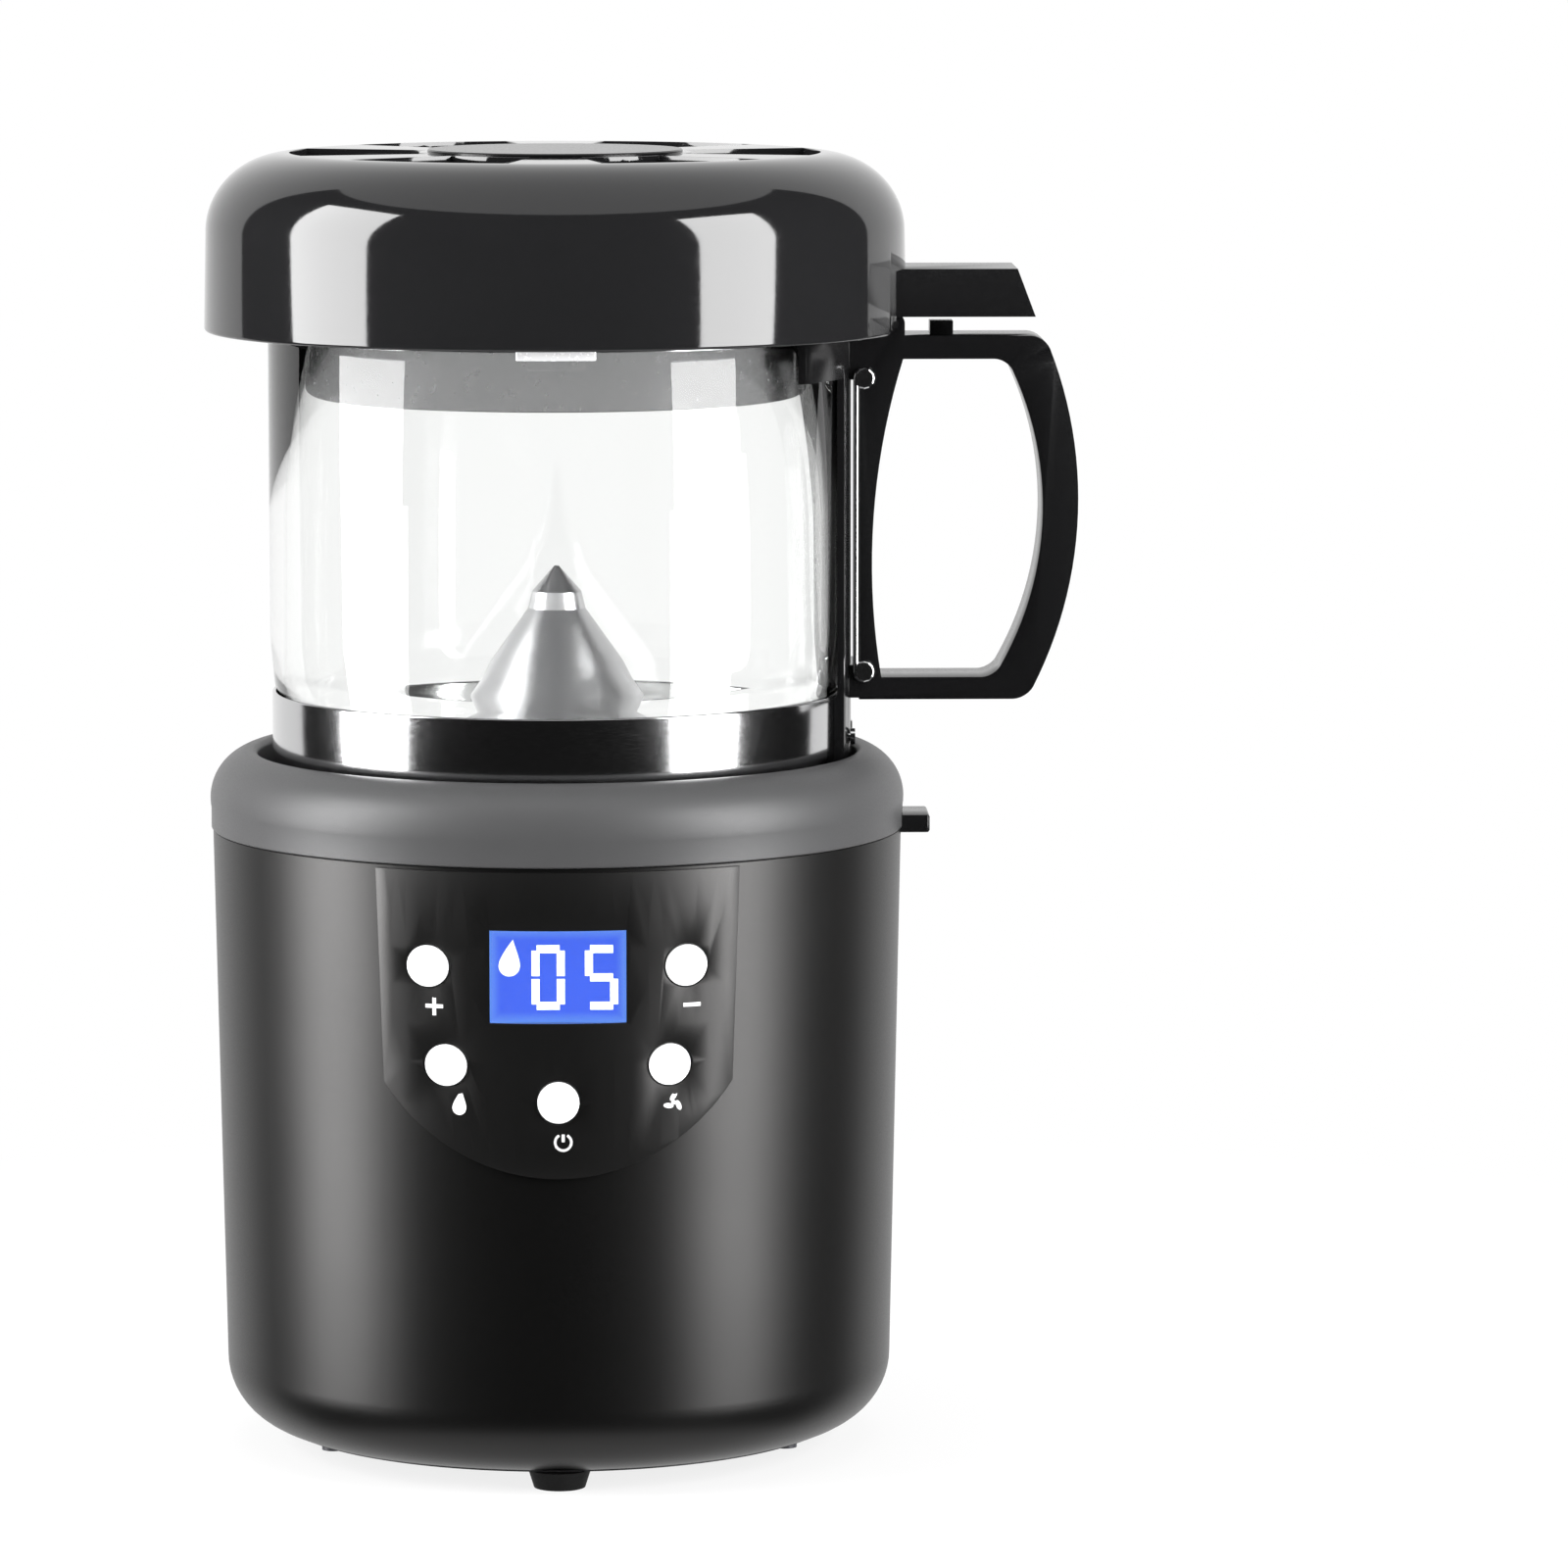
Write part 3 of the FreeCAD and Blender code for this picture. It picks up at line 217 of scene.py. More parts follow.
def newGroup(name, inputs, outputs):
    group = bpy.data.node_groups.new(name, "ShaderNodeTree")
    for label, kind, value in inputs:
        socket = group.interface.new_socket(name=label, in_out="INPUT", socket_type=kind)
        if value is not None:
            socket.default_value = value
    for label, kind in outputs:
        group.interface.new_socket(name=label, in_out="OUTPUT", socket_type=kind)
    return group, group.nodes.new("NodeGroupInput"), group.nodes.new("NodeGroupOutput")


def makeSpeckle():
    # fine noise, ranged between two values
    inputs = [
        ("Scale", "NodeSocketFloat", 400.0), ("Low", "NodeSocketFloat", 0.3), ("High", "NodeSocketFloat", 0.4),
        ("Stretch", "NodeSocketVector", (1, 1, 1)),
    ]
    outputs = [("Value", "NodeSocketFloat"), ("Raw", "NodeSocketFloat")]
    group, into, out = newGroup("speckle", inputs, outputs)
    place = group.nodes.new("ShaderNodeTexCoord")
    scaled = group.nodes.new("ShaderNodeVectorMath")
    scaled.operation = "MULTIPLY"
    noise = group.nodes.new("ShaderNodeTexNoise")
    noise.inputs["Detail"].default_value = 3.0
    span = group.nodes.new("ShaderNodeMapRange")
    link = group.links.new
    link(place.outputs["Object"], scaled.inputs[0])
    link(into.outputs["Stretch"], scaled.inputs[1])
    link(scaled.outputs[0], noise.inputs["Vector"])
    link(into.outputs["Scale"], noise.inputs["Scale"])
    link(noise.outputs["Fac"], span.inputs["Value"])
    span.inputs["From Min"].default_value = 0.3
    span.inputs["From Max"].default_value = 0.7
    link(into.outputs["Low"], span.inputs["To Min"])
    link(into.outputs["High"], span.inputs["To Max"])
    link(span.outputs[0], out.inputs["Value"])
    link(noise.outputs["Fac"], out.inputs["Raw"])
    return group


def makeTint():
    # a colour that drifts slowly between two shades
    group, into, out = newGroup("tint", [("Color A", "NodeSocketColor", (0.5, 0.5, 0.5, 1)),
                                         ("Color B", "NodeSocketColor", (0.5, 0.5, 0.5, 1)),
                                         ("Scale", "NodeSocketFloat", 20.0)], [("Color", "NodeSocketColor")])
    place = group.nodes.new("ShaderNodeTexCoord")
    noise = group.nodes.new("ShaderNodeTexNoise")
    noise.inputs["Detail"].default_value = 2.0
    mix = group.nodes.new("ShaderNodeMix")
    mix.data_type = "RGBA"
    link = group.links.new
    link(place.outputs["Object"], noise.inputs["Vector"])
    link(into.outputs["Scale"], noise.inputs["Scale"])
    link(noise.outputs["Fac"], mix.inputs[0])
    link(into.outputs["Color A"], mix.inputs[6])
    link(into.outputs["Color B"], mix.inputs[7])
    link(mix.outputs[2], out.inputs["Color"])
    return group


speckle = makeSpeckle()
tint = makeTint()


def shade(color, factor):
    return (color[0] * factor, color[1] * factor, color[2] * factor, 1)


# every finish: colour, how metallic and rough, and the scale of its grain in 1/m
finishes = {
    "glossBlack": {"color": (0.010, 0.010, 0.0105), "rough": (0.05, 0.08), "grain": 900, "bump": 0.002,
                   "specular": 0.62},
    "satinBlack": {"color": (0.005, 0.005, 0.0053), "rough": (0.18, 0.24), "grain": 1500, "bump": 0.008,
                   "specular": 0.35},
    "anthracite": {"color": (0.046, 0.0453, 0.045), "rough": (0.36, 0.42), "grain": 2600, "bump": 0.01, "metal": 1.0},
    "panelGray": {"color": (0.045, 0.0443, 0.044), "rough": (0.36, 0.42), "grain": 2600, "bump": 0.01, "metal": 0.95},
    "capGray": {"color": (0.060, 0.060, 0.0615), "rough": (0.42, 0.50), "grain": 2200, "bump": 0.02, "metal": 0.2},
    "blackRubber": {"color": (0.006, 0.006, 0.006), "rough": (0.6, 0.75), "grain": 1800, "bump": 0.08, "specular": 0.2},
    # steel darkened as painted shade, for the band that sits in the shade under the lid
    "neckSteel": {"color": (0.28, 0.28, 0.284), "rough": (0.20, 0.28), "grain": 500, "bump": 0.01, "metal": 1.0},
    # a real clip, made pale and mostly non-metal, so its colour is a painted highlight at the lid's front edge
    "chromeClip": {"color": (0.80, 0.80, 0.81), "rough": (0.22, 0.30), "grain": 900, "bump": 0.01, "metal": 0.25},
    "silicone": {"color": (0.30, 0.30, 0.30), "rough": (0.5, 0.6), "grain": 1200, "bump": 0.03},
    "darkPlastic": {"color": (0.025, 0.025, 0.027), "rough": (0.45, 0.55), "grain": 1400, "bump": 0.05},
    "brightSteel": {"color": (0.78, 0.78, 0.79), "rough": (0.10, 0.18), "grain": 900, "bump": 0.01, "metal": 1.0},
    "satinSteel": {"color": (0.55, 0.55, 0.56), "rough": (0.28, 0.38), "grain": 900, "bump": 0.03, "metal": 1.0},
    "polishedSteel": {"color": (0.56, 0.56, 0.565), "rough": (0.10, 0.16), "grain": 500, "bump": 0.006, "metal": 1.0,
                      "stretch": (1, 1, 12)},
    "mica": {"color": (0.55, 0.48, 0.36), "rough": (0.5, 0.7), "grain": 300, "bump": 0.08},
    "heaterWire": {"color": (0.22, 0.19, 0.17), "rough": (0.4, 0.55), "grain": 800, "bump": 0.05, "metal": 1.0},
    "greenBoard": {"color": (0.02, 0.12, 0.05), "rough": (0.3, 0.4), "grain": 600, "bump": 0.03},
    "darkParts": {"color": (0.05, 0.05, 0.06), "rough": (0.4, 0.5), "grain": 900, "bump": 0.03},
    "buttonWhite": {"color": (0.82, 0.82, 0.82), "rough": (0.3, 0.38), "grain": 1500, "bump": 0.01},
}


driftScale = 25.0


def makeFinish(name, facts):
    mat = bpy.data.materials.new(name)
    mat.use_nodes = True
    tree = mat.node_tree
    shader = tree.nodes["Principled BSDF"]
    color = tree.nodes.new("ShaderNodeGroup")
    color.node_tree = tint
    color.inputs["Color A"].default_value = shade(facts["color"], 0.9)
    color.inputs["Color B"].default_value = shade(facts["color"], 1.1)
    color.inputs["Scale"].default_value = driftScale
    tree.links.new(color.outputs["Color"], shader.inputs["Base Color"])
    grain = tree.nodes.new("ShaderNodeGroup")
    grain.node_tree = speckle
    grain.inputs["Scale"].default_value = facts["grain"]
    grain.inputs["Low"].default_value = facts["rough"][0]
    grain.inputs["High"].default_value = facts["rough"][1]
    grain.inputs["Stretch"].default_value = facts.get("stretch", (1, 1, 1))
    tree.links.new(grain.outputs["Value"], shader.inputs["Roughness"])
    bump = tree.nodes.new("ShaderNodeBump")
    bump.inputs["Strength"].default_value = facts["bump"]
    bump.inputs["Distance"].default_value = 0.0005
    tree.links.new(grain.outputs["Raw"], bump.inputs["Height"])
    tree.links.new(bump.outputs["Normal"], shader.inputs["Normal"])
    shader.inputs["Metallic"].default_value = facts.get("metal", 0.0)
    shader.inputs["Specular IOR Level"].default_value = facts.get("specular", 0.5)
    return mat


finish = {name: makeFinish(name, facts) for name, facts in finishes.items()}


def makeGlass(name, color, rough, ior):
    mat = bpy.data.materials.new(name)
    mat.use_nodes = True
    tree = mat.node_tree
    shader = tree.nodes["Principled BSDF"]
    shader.inputs["Base Color"].default_value = color
    shader.inputs["Transmission Weight"].default_value = 1.0
    shader.inputs["IOR"].default_value = ior
    grain = tree.nodes.new("ShaderNodeGroup")
    grain.node_tree = speckle
    grain.inputs["Scale"].default_value = 60.0
    grain.inputs["Low"].default_value = rough
    grain.inputs["High"].default_value = rough + 0.01
    tree.links.new(grain.outputs["Value"], shader.inputs["Roughness"])
    return mat


finish["clearGlass"] = makeGlass("clearGlass", (0.99, 0.995, 0.99, 1), 0.0, 1.45)
finish["clearLens"] = makeGlass("clearLens", (0.98, 0.99, 1.0, 1), 0.02, 1.45)

display = {
    "color": (0.006, 0.090, 0.86), "edge": (0.10, 0.29, 0.92), "body": (0.01, 0.03, 0.2),
    "glow": 0.85, "soft": 0.0025,
}


def makeDisplay():
    # backlight, paler towards the rim of the screen
    mat = bpy.data.materials.new("blueBacklight")
    mat.use_nodes = True
    tree = mat.node_tree
    shader = tree.nodes["Principled BSDF"]
    low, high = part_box("display_lens")
    place = tree.nodes.new("ShaderNodeTexCoord")
    parts = tree.nodes.new("ShaderNodeSeparateXYZ")
    tree.links.new(place.outputs["Object"], parts.inputs[0])
    edges = []
    for axis, lowEdge, highEdge in (("X", low.x, high.x), ("Z", low.z, high.z)):
        off = tree.nodes.new("ShaderNodeMath")
        off.operation = "SUBTRACT"
        off.inputs[1].default_value = (lowEdge + highEdge) / 2
        tree.links.new(parts.outputs[axis], off.inputs[0])
        size = tree.nodes.new("ShaderNodeMath")
        size.operation = "ABSOLUTE"
        tree.links.new(off.outputs[0], size.inputs[0])
        ramp = tree.nodes.new("ShaderNodeMapRange")
        ramp.inputs["From Min"].default_value = (highEdge - lowEdge) / 2 - display["soft"]
        ramp.inputs["From Max"].default_value = (highEdge - lowEdge) / 2
        tree.links.new(size.outputs[0], ramp.inputs["Value"])
        edges.append(ramp.outputs[0])
    most = tree.nodes.new("ShaderNodeMath")
    most.operation = "MAXIMUM"
    tree.links.new(edges[0], most.inputs[0])
    tree.links.new(edges[1], most.inputs[1])
    mix = tree.nodes.new("ShaderNodeMix")
    mix.data_type = "RGBA"
    mix.inputs[6].default_value = (*display["color"], 1)
    mix.inputs[7].default_value = (*display["edge"], 1)
    tree.links.new(most.outputs[0], mix.inputs[0])
    shader.inputs["Base Color"].default_value = (*display["body"], 1)
    tree.links.new(mix.outputs[2], shader.inputs["Emission Color"])
    shader.inputs["Emission Strength"].default_value = display["glow"]
    shader.inputs["Roughness"].default_value = 0.3
    return mat


def makeLit(name, color, strength):
    mat = makeFinish(name, {"color": color, "rough": (0.4, 0.5), "grain": 1000, "bump": 0.0})
    shader = mat.node_tree.nodes["Principled BSDF"]
    shader.inputs["Emission Color"].default_value = (*color, 1)
    shader.inputs["Emission Strength"].default_value = strength
    return mat


finish["blueBacklight"] = makeDisplay()
finish["segmentWhite"] = makeLit("segmentWhite", (0.9, 0.94, 1.0), 0.8)
# white print with a faint painted glow, brighter than its lighting makes it
finish["printWhite"] = makeLit("printWhite", (0.85, 0.85, 0.86), 0.12)

nodeFinish = {
    "anthracite": ["body_shell"],
    "panelGray": ["control_panel"],
    "capGray": ["base_cap"],
    "darkPlastic": ["bottom_plate", "blower_housing", "latch_guide", "display_holder", "fan_impeller"],
    "blackRubber": ["rubber_feet", "cord_grommet"],
    "silicone": ["seat_seal", "glass_seal", "lid_seal"],
    "brightSteel": ["tie_rods", "housing_screws", "bracket_screws", "duct_screws",
                    "board_screws", "guide_screws", "wire_screws", "lid_screws", "cone_screw", "motor_shaft",
                    "handle_rivets", "hinge_pin", "tension_wire", "clamp_band", "latch_spring"],
    "satinSteel": ["motor_bracket", "fan_motor", "air_duct", "chaff_screen", "chamber_floor", "air_cone",
                   "thermostat"],
    "polishedSteel": ["chamber_cup"],
    "neckSteel": ["lid_neck"],
    "chromeClip": ["lid_clip"],
    "mica": ["heater_former"],
    "heaterWire": ["heating_coil"],
    "greenBoard": ["power_board", "control_board"],
    "darkParts": ["power_parts", "push_switches", "thermal_fuse", "foot_screws", "tie_screws"],
    "clearGlass": ["glass_cylinder"],
    "clearLens": ["display_lens"],
    "blueBacklight": ["display_module"],
    "buttonWhite": [name for name in nodes if name.startswith("button_")],
    "satinBlack": ["handle", "lid_lever", "release_latch", "vent_hub"],
    "glossBlack": ["lid_shell"],
}


def paintNodes():
    for name, names in nodeFinish.items():
        for node in names:
            data = nodes[node].data
            data.materials.clear()
            data.materials.append(finish[name])


paintNodes()
print("finishes made:", len(finish))


# modelling helpers

def settle(piece, name, smoothAngle=32, shift=axisX):
    # from the axis to its place, into the mesh, smooth shading, name
    deselectAll()
    bpy.context.view_layer.objects.active = piece
    piece.select_set(True)
    piece.location.x += shift
    bpy.ops.object.transform_apply(location=True, rotation=True, scale=True)
    bpy.ops.object.shade_smooth_by_angle(angle=radians(smoothAngle))
    piece.name = name
    piece.data.name = name
    deselectAll()
    return piece


def wear(piece, body, look, slotName, *replaced):
    piece.data.materials.clear()
    piece.data.materials.append(finish[look])
    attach(piece, body)
    if replaced:
        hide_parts(*replaced)
    return piece


def arcPoints(center, radius, start, end, steps):
    # points along an arc of a profile, angles in degrees from the outward direction
    points = []
    for i in range(steps + 1):
        a = radians(start + (end - start) * i / steps)
        points.append((center[0] + radius[0] * cos(a), center[1] + radius[1] * sin(a)))
    return points


def turnShell(name, profile, sides=160):
    # a ring extruded from station to station of its profile, in mm
    deselectAll()
    r, z = profile[0]
    bpy.ops.mesh.primitive_circle_add(vertices=sides, radius=r * mm, location=(0, 0, z * mm))
    piece = bpy.context.object
    bpy.ops.object.mode_set(mode="EDIT")
    bpy.ops.mesh.select_all(action="SELECT")
    for (ra, za), (rb, zb) in zip(profile, profile[1:]):
        bpy.ops.mesh.extrude_edges_move(TRANSFORM_OT_translate={"value": (0, 0, (zb - za) * mm)})
        factor = max(rb, 0.001) / max(ra, 0.001)
        bpy.ops.transform.resize(value=(factor, factor, 1), center_override=(0, 0, zb * mm))
    bpy.ops.mesh.select_all(action="SELECT")
    bpy.ops.mesh.remove_doubles(threshold=2e-6)
    bpy.ops.mesh.normals_make_consistent(inside=False)
    bpy.ops.object.mode_set(mode="OBJECT")
    piece.name = name
    return piece


def addModifier(piece, kind, **facts):
    deselectAll()
    bpy.context.view_layer.objects.active = piece
    piece.select_set(True)
    modifier = piece.modifiers.new(kind.lower(), kind)
    for key, value in facts.items():
        setattr(modifier, key, value)
    bpy.ops.object.modifier_apply(modifier=modifier.name)


def softenEdges(piece, width, steps=2, angle=35):
    addModifier(piece, "BEVEL", width=width * mm, segments=steps, limit_method="ANGLE", angle_limit=radians(angle),
                miter_outer="MITER_ARC")


def copyNode(node, flat=0.5):
    # a merged copy of a rigid node, with its flat faces made whole
    deselectAll()
    piece = nodes[node].copy()
    piece.data = nodes[node].data.copy()
    for key in list(piece.keys()):
        del piece[key]
    piece.parent = None
    bpy.context.scene.collection.objects.link(piece)
    bpy.context.view_layer.objects.active = piece
    piece.select_set(True)
    bpy.ops.object.mode_set(mode="EDIT")
    bpy.ops.mesh.select_all(action="SELECT")
    bpy.ops.mesh.remove_doubles(threshold=1e-6)
    bpy.ops.mesh.dissolve_limited(angle_limit=radians(flat))
    bpy.ops.object.mode_set(mode="OBJECT")
    return piece


def cutWith(piece, cutter):
    addModifier(piece, "BOOLEAN", operation="DIFFERENCE", object=cutter, solver="EXACT")
    bpy.data.objects.remove(cutter)


def roundUprights(piece, low, high, radius):
    # rounds the sharp straight edges that run front to back between two places in x, in mm
    deselectAll()
    bpy.context.view_layer.objects.active = piece
    piece.select_set(True)
    bpy.ops.object.mode_set(mode="EDIT")
    bpy.ops.mesh.select_mode(type="EDGE")
    bpy.ops.mesh.select_all(action="DESELECT")
    bpy.ops.mesh.edges_select_sharp(sharpness=radians(45))
    bpy.ops.object.mode_set(mode="OBJECT")
    points = piece.data.vertices
    kept = []
    for edge in piece.data.edges:
        a, b = (points[v].co for v in edge.vertices)
        across = abs(a.x - b.x) < 1e-5 and abs(a.z - b.z) < 1e-5 and abs(a.y - b.y) > 0.004
        kept.append(edge.select and across and low * mm < a.x < high * mm)
    for group in (piece.data.polygons, points):
        for item in group:
            item.select = False
    for edge, keep in zip(piece.data.edges, kept):
        edge.select = keep
        if keep:
            for v in edge.vertices:
                points[v].select = True
    print("rounded edges:", sum(kept))
    bpy.ops.object.mode_set(mode="EDIT")
    bpy.ops.mesh.bevel(offset=radius * mm, segments=6, affect="EDGES", clamp_overlap=True)
    bpy.ops.mesh.select_mode(type="VERT")
    bpy.ops.object.mode_set(mode="OBJECT")


def copyFrom(node, name, look, slotName, body, bevel, corners=()):
    piece = copyNode(node)
    for corner in corners:
        roundUprights(piece, corner["low"], corner["high"], corner["radius"])
    softenEdges(piece, bevel)
    return wear(settle(piece, name, shift=0.0), body, look, slotName, node)


def arcThrough(a, m, b, steps):
    # points on the circle through three points of a profile
    d = 2 * (a[0] * (m[1] - b[1]) + m[0] * (b[1] - a[1]) + b[0] * (a[1] - m[1]))
    sa, sm, sb = (p[0] ** 2 + p[1] ** 2 for p in (a, m, b))
    cx = (sa * (m[1] - b[1]) + sm * (b[1] - a[1]) + sb * (a[1] - m[1])) / d
    cy = (sa * (b[0] - m[0]) + sm * (a[0] - b[0]) + sb * (m[0] - a[0])) / d
    r = sqrt((a[0] - cx) ** 2 + (a[1] - cy) ** 2)
    start = Vector((a[0] - cx, a[1] - cy))
    sweep = start.angle_signed(Vector((m[0] - cx, m[1] - cy))) + Vector((m[0] - cx, m[1] - cy)).angle_signed(
        Vector((b[0] - cx, b[1] - cy)))
    points = []
    for i in range(steps + 1):
        turned = start.copy()
        turned.rotate(Matrix.Rotation(-sweep * i / steps, 2))
        points.append((cx + turned.x, cy + turned.y))
    return points


def cutBox(piece, x0, x1, y0, y1, z0, z1):
    deselectAll()
    middle = ((x0 + x1) / 2 * mm, (y0 + y1) / 2 * mm, (z0 + z1) / 2 * mm)
    bpy.ops.mesh.primitive_cube_add(size=1, location=middle, scale=((x1 - x0) * mm, (y1 - y0) * mm, (z1 - z0) * mm))
    block = bpy.context.object
    bpy.ops.object.transform_apply(location=True, rotation=True, scale=True)
    cutWith(piece, block)


# lid

lidShape = {
    "rimRadius": 85.4, "rimZ": 273.4, "shoulderRadius": 84.9, "shoulderZ": 297.4, "flatRadius": 64.6,
    "topZ": 316.4, "wall": 2.4, "rimRound": 0.8, "ventIn": 33.0, "ventOut": 64.5, "ventAngle": 38, "vents": 6,
    "chordX": 80.4, "chordTop": 288.6, "holeRadius": 28.0,
}


def lidProfile():
    s = lidShape
    t = s["rimRound"]
    wall = s["wall"]
    width = s["shoulderRadius"] - s["flatRadius"]
    rise = s["topZ"] - s["shoulderZ"]
    corner = (s["flatRadius"], s["shoulderZ"])
    outer = arcPoints((s["rimRadius"] - t, s["rimZ"] + t), (t, t), -90, 0, 4)
    outer += arcPoints(corner, (width, rise), 0, 90, 28)
    outer += [(s["holeRadius"] + 0.4, s["topZ"]), (s["holeRadius"], s["topZ"] - 0.4)]
    outer += [(s["holeRadius"], s["topZ"] - wall)]
    inner = arcPoints(corner, (width - wall, rise - wall), 90, 0, 20)
    inner += [(s["rimRadius"] - wall, s["rimZ"] + 0.4), (s["rimRadius"] - wall + 0.4, s["rimZ"])]
    return outer + inner + [outer[0]]


def ventCutter(angle):
    s = lidShape
    deselectAll()
    bpy.ops.mesh.primitive_plane_add(size=1, location=((s["ventIn"] + s["ventOut"]) / 2 * mm, 0, 0.315),
                                     rotation=(pi / 2, 0, 0))
    cutter = bpy.context.object
    cutter.scale = ((s["ventOut"] - s["ventIn"]) * mm, 0.024, 1)
    bpy.ops.object.transform_apply(location=True, rotation=True, scale=True)
    cutter.rotation_euler.z = radians(angle + s["ventAngle"] / 2)
    bpy.ops.object.transform_apply(location=True, rotation=True, scale=True)
    bpy.ops.object.mode_set(mode="EDIT")
    bpy.ops.mesh.select_all(action="SELECT")
    bpy.ops.mesh.spin(steps=12, angle=radians(s["ventAngle"]), center=(0, 0, 0), axis=(0, 0, 1))
    bpy.ops.mesh.select_all(action="SELECT")
    bpy.ops.mesh.normals_make_consistent(inside=False)
    bpy.ops.object.mode_set(mode="OBJECT")
    return cutter


def buildLid():
    s = lidShape
    lid = turnShell("lidShell", lidProfile(), 192)
    for i in range(s["vents"]):
        cutWith(lid, ventCutter(360 / s["vents"] * i))
    cutBox(lid, s["chordX"], s["chordX"] + 20, -50, 50, s["rimZ"] - 10, s["chordTop"])
    softenEdges(lid, 0.3, 2, 50)
    wear(settle(lid, "lidShell"), "lid", "glossBlack", "gloss_black", "lid_shell")


buildLid()
print("lid shell built")


# pieces turned from their profiles

bodyShape = {"lowR": 81.6, "lowZ": 21.4, "topR": 84.2, "topZ": 152.0, "corner": 17.0, "wall": 1.6, "floor": 4.4}


def bodyProfile():
    s = bodyShape
    c = s["corner"]
    center = (s["lowR"] - c, s["floor"] + c)
    outer = [(68.2, 4.85)] + arcPoints(center, (c, c), -76, 0, 12)
    for share in (0.25, 0.5, 0.75):
        outer.append((s["lowR"] + (s["topR"] - s["lowR"]) * share, s["lowZ"] + (s["topZ"] - s["lowZ"]) * share))
    outer += [(s["topR"], s["topZ"] - 0.3), (s["topR"] - 0.3, s["topZ"]), (s["topR"] - s["wall"], s["topZ"])]
    inner = arcPoints(center, (c - s["wall"], c - s["wall"]), 0, -54, 8)
    return outer + inner + [(59.0, 8.4), (59.0, 6.4), (68.2, 6.4), outer[0]]


def capProfile():
    crest = arcThrough((84.6, 157.0), (82.198, 166.9), (76.4, 171.0), 16)
    under = arcThrough((76.4, 169.0), (80.784, 165.485), (82.6, 157.0), 12)
    well = arcPoints((74.8, 169.4), (1.6, 1.6), 90, 180, 6)
    inside = arcPoints((76.8, 167.4), (1.6, 1.6), 180, 90, 4)
    outer = [(84.3, 152.0), (84.6, 152.3)] + crest + well + [(73.2, 160.0), (51.4, 160.0), (51.4, 158.0), (75.2, 158.0)]
    lip = [(82.6, 153.6), (80.6, 153.6), (80.6, 147.0), (82.4, 147.0), (82.4, 152.0), (84.3, 152.0)]
    return outer + inside + under + lip


def cupProfile():
    outer = arcPoints((61.5, 171.5), (8.0, 8.0), -90, 0, 10)
    inner = arcPoints((61.5, 171.5), (7.0, 7.0), 0, -90, 8)
    rim = arcPoints((69.0, 185.1), (0.5, 0.5), 0, 180, 6)
    shelf = [(68.5, 177.8), (64.5, 177.8), (64.5, 176.8), (68.5, 174.8)]
    return outer + rim + shelf + inner + [(49.8, 164.5), (49.8, 158.7), (50.8, 158.7), (50.8, 163.5), outer[0]]


glassProfile = [
    (66.2, 180.6), (68.3, 180.6), (68.3, 185.9), (68.9, 187.0), (69.3, 191.0), (69.7, 195.5), (70.0, 199.6),
    (70.0, 230.0), (70.0, 275.2), (69.77, 275.77), (69.2, 276.0), (66.8, 276.0), (66.4, 275.8), (66.2, 275.4),
    (66.2, 230.0), (66.2, 180.6),
]
neckProfile = [
    (64.0, 257.6), (64.0, 278.4), (81.2, 278.4), (81.2, 279.6), (62.8, 279.6), (62.8, 257.6), (63.0, 257.4),
    (63.8, 257.4), (64.0, 257.6),
]
hubProfile = [
    (0.05, 314.0), (27.8, 314.0), (27.8, 316.4), (31.0, 316.4), (31.0, 316.9), (30.7, 317.2), (0.05, 317.2),
    (0.05, 314.0),
]


# openings of casing and cap: x, y and z from and to, in mm
latchSlot = (60, 100, -9.15, 9.15, 150.25, 155.35)
panelWindow = (-37.6, 37.6, -95, -60, 100.0, 147.0)


def buildTurned():
    body = turnShell("bodyCasing", bodyProfile(), 192)
    cutBox(body, *latchSlot)
    cutBox(body, *panelWindow)
    deselectAll()
    bpy.ops.mesh.primitive_cylinder_add(vertices=96, radius=0.0476, depth=0.035, location=(0, -0.0775, 0.1296),
                                        rotation=(pi / 2, 0, 0))
    lower = bpy.context.object
    bpy.ops.object.transform_apply(location=True, rotation=True, scale=True)
    bpy.ops.object.mode_set(mode="EDIT")
    bpy.ops.mesh.select_all(action="SELECT")
    bpy.ops.mesh.bisect(plane_co=(0, 0, 0.1001), plane_no=(0, 0, 1), use_fill=True, clear_outer=True)
    bpy.ops.object.mode_set(mode="OBJECT")
    cutWith(body, lower)
    deselectAll()
    bpy.ops.mesh.primitive_cylinder_add(vertices=48, radius=0.0065, depth=0.03, location=(0, 0.08, 0.026),
                                        rotation=(pi / 2, 0, 0))
    bore = bpy.context.object
    bpy.ops.object.transform_apply(location=True, rotation=True, scale=True)
    cutWith(body, bore)
    wear(settle(body, "bodyCasing"), "base", "anthracite", "anthracite_body", "body_shell")
    cap = turnShell("baseCap", capProfile(), 192)
    cutBox(cap, *latchSlot)
    wear(settle(cap, "baseCap"), "base", "capGray", "grey_cap", "base_cap")
    plain = [
        ("cupRing", cupProfile(), "chamber", "polishedSteel", "polished_steel", "chamber_cup"),
        ("glassWall", glassProfile, "chamber", "clearGlass", "clear_glass", "glass_cylinder"),
        ("neckBand", neckProfile, "lid", "neckSteel", "polished_steel", "lid_neck"),
        ("ventHub", hubProfile, "lid", "satinBlack", "black_plastic", "vent_hub"),
    ]
    for name, profile, body, look, slotName, node in plain:
        piece = turnShell(name, profile, 192)
        wear(settle(piece, name), body, look, slotName, node)


buildTurned()
print("casing, cap, cup, glass and neck built")


# moulded pieces, from the solids with softened edges

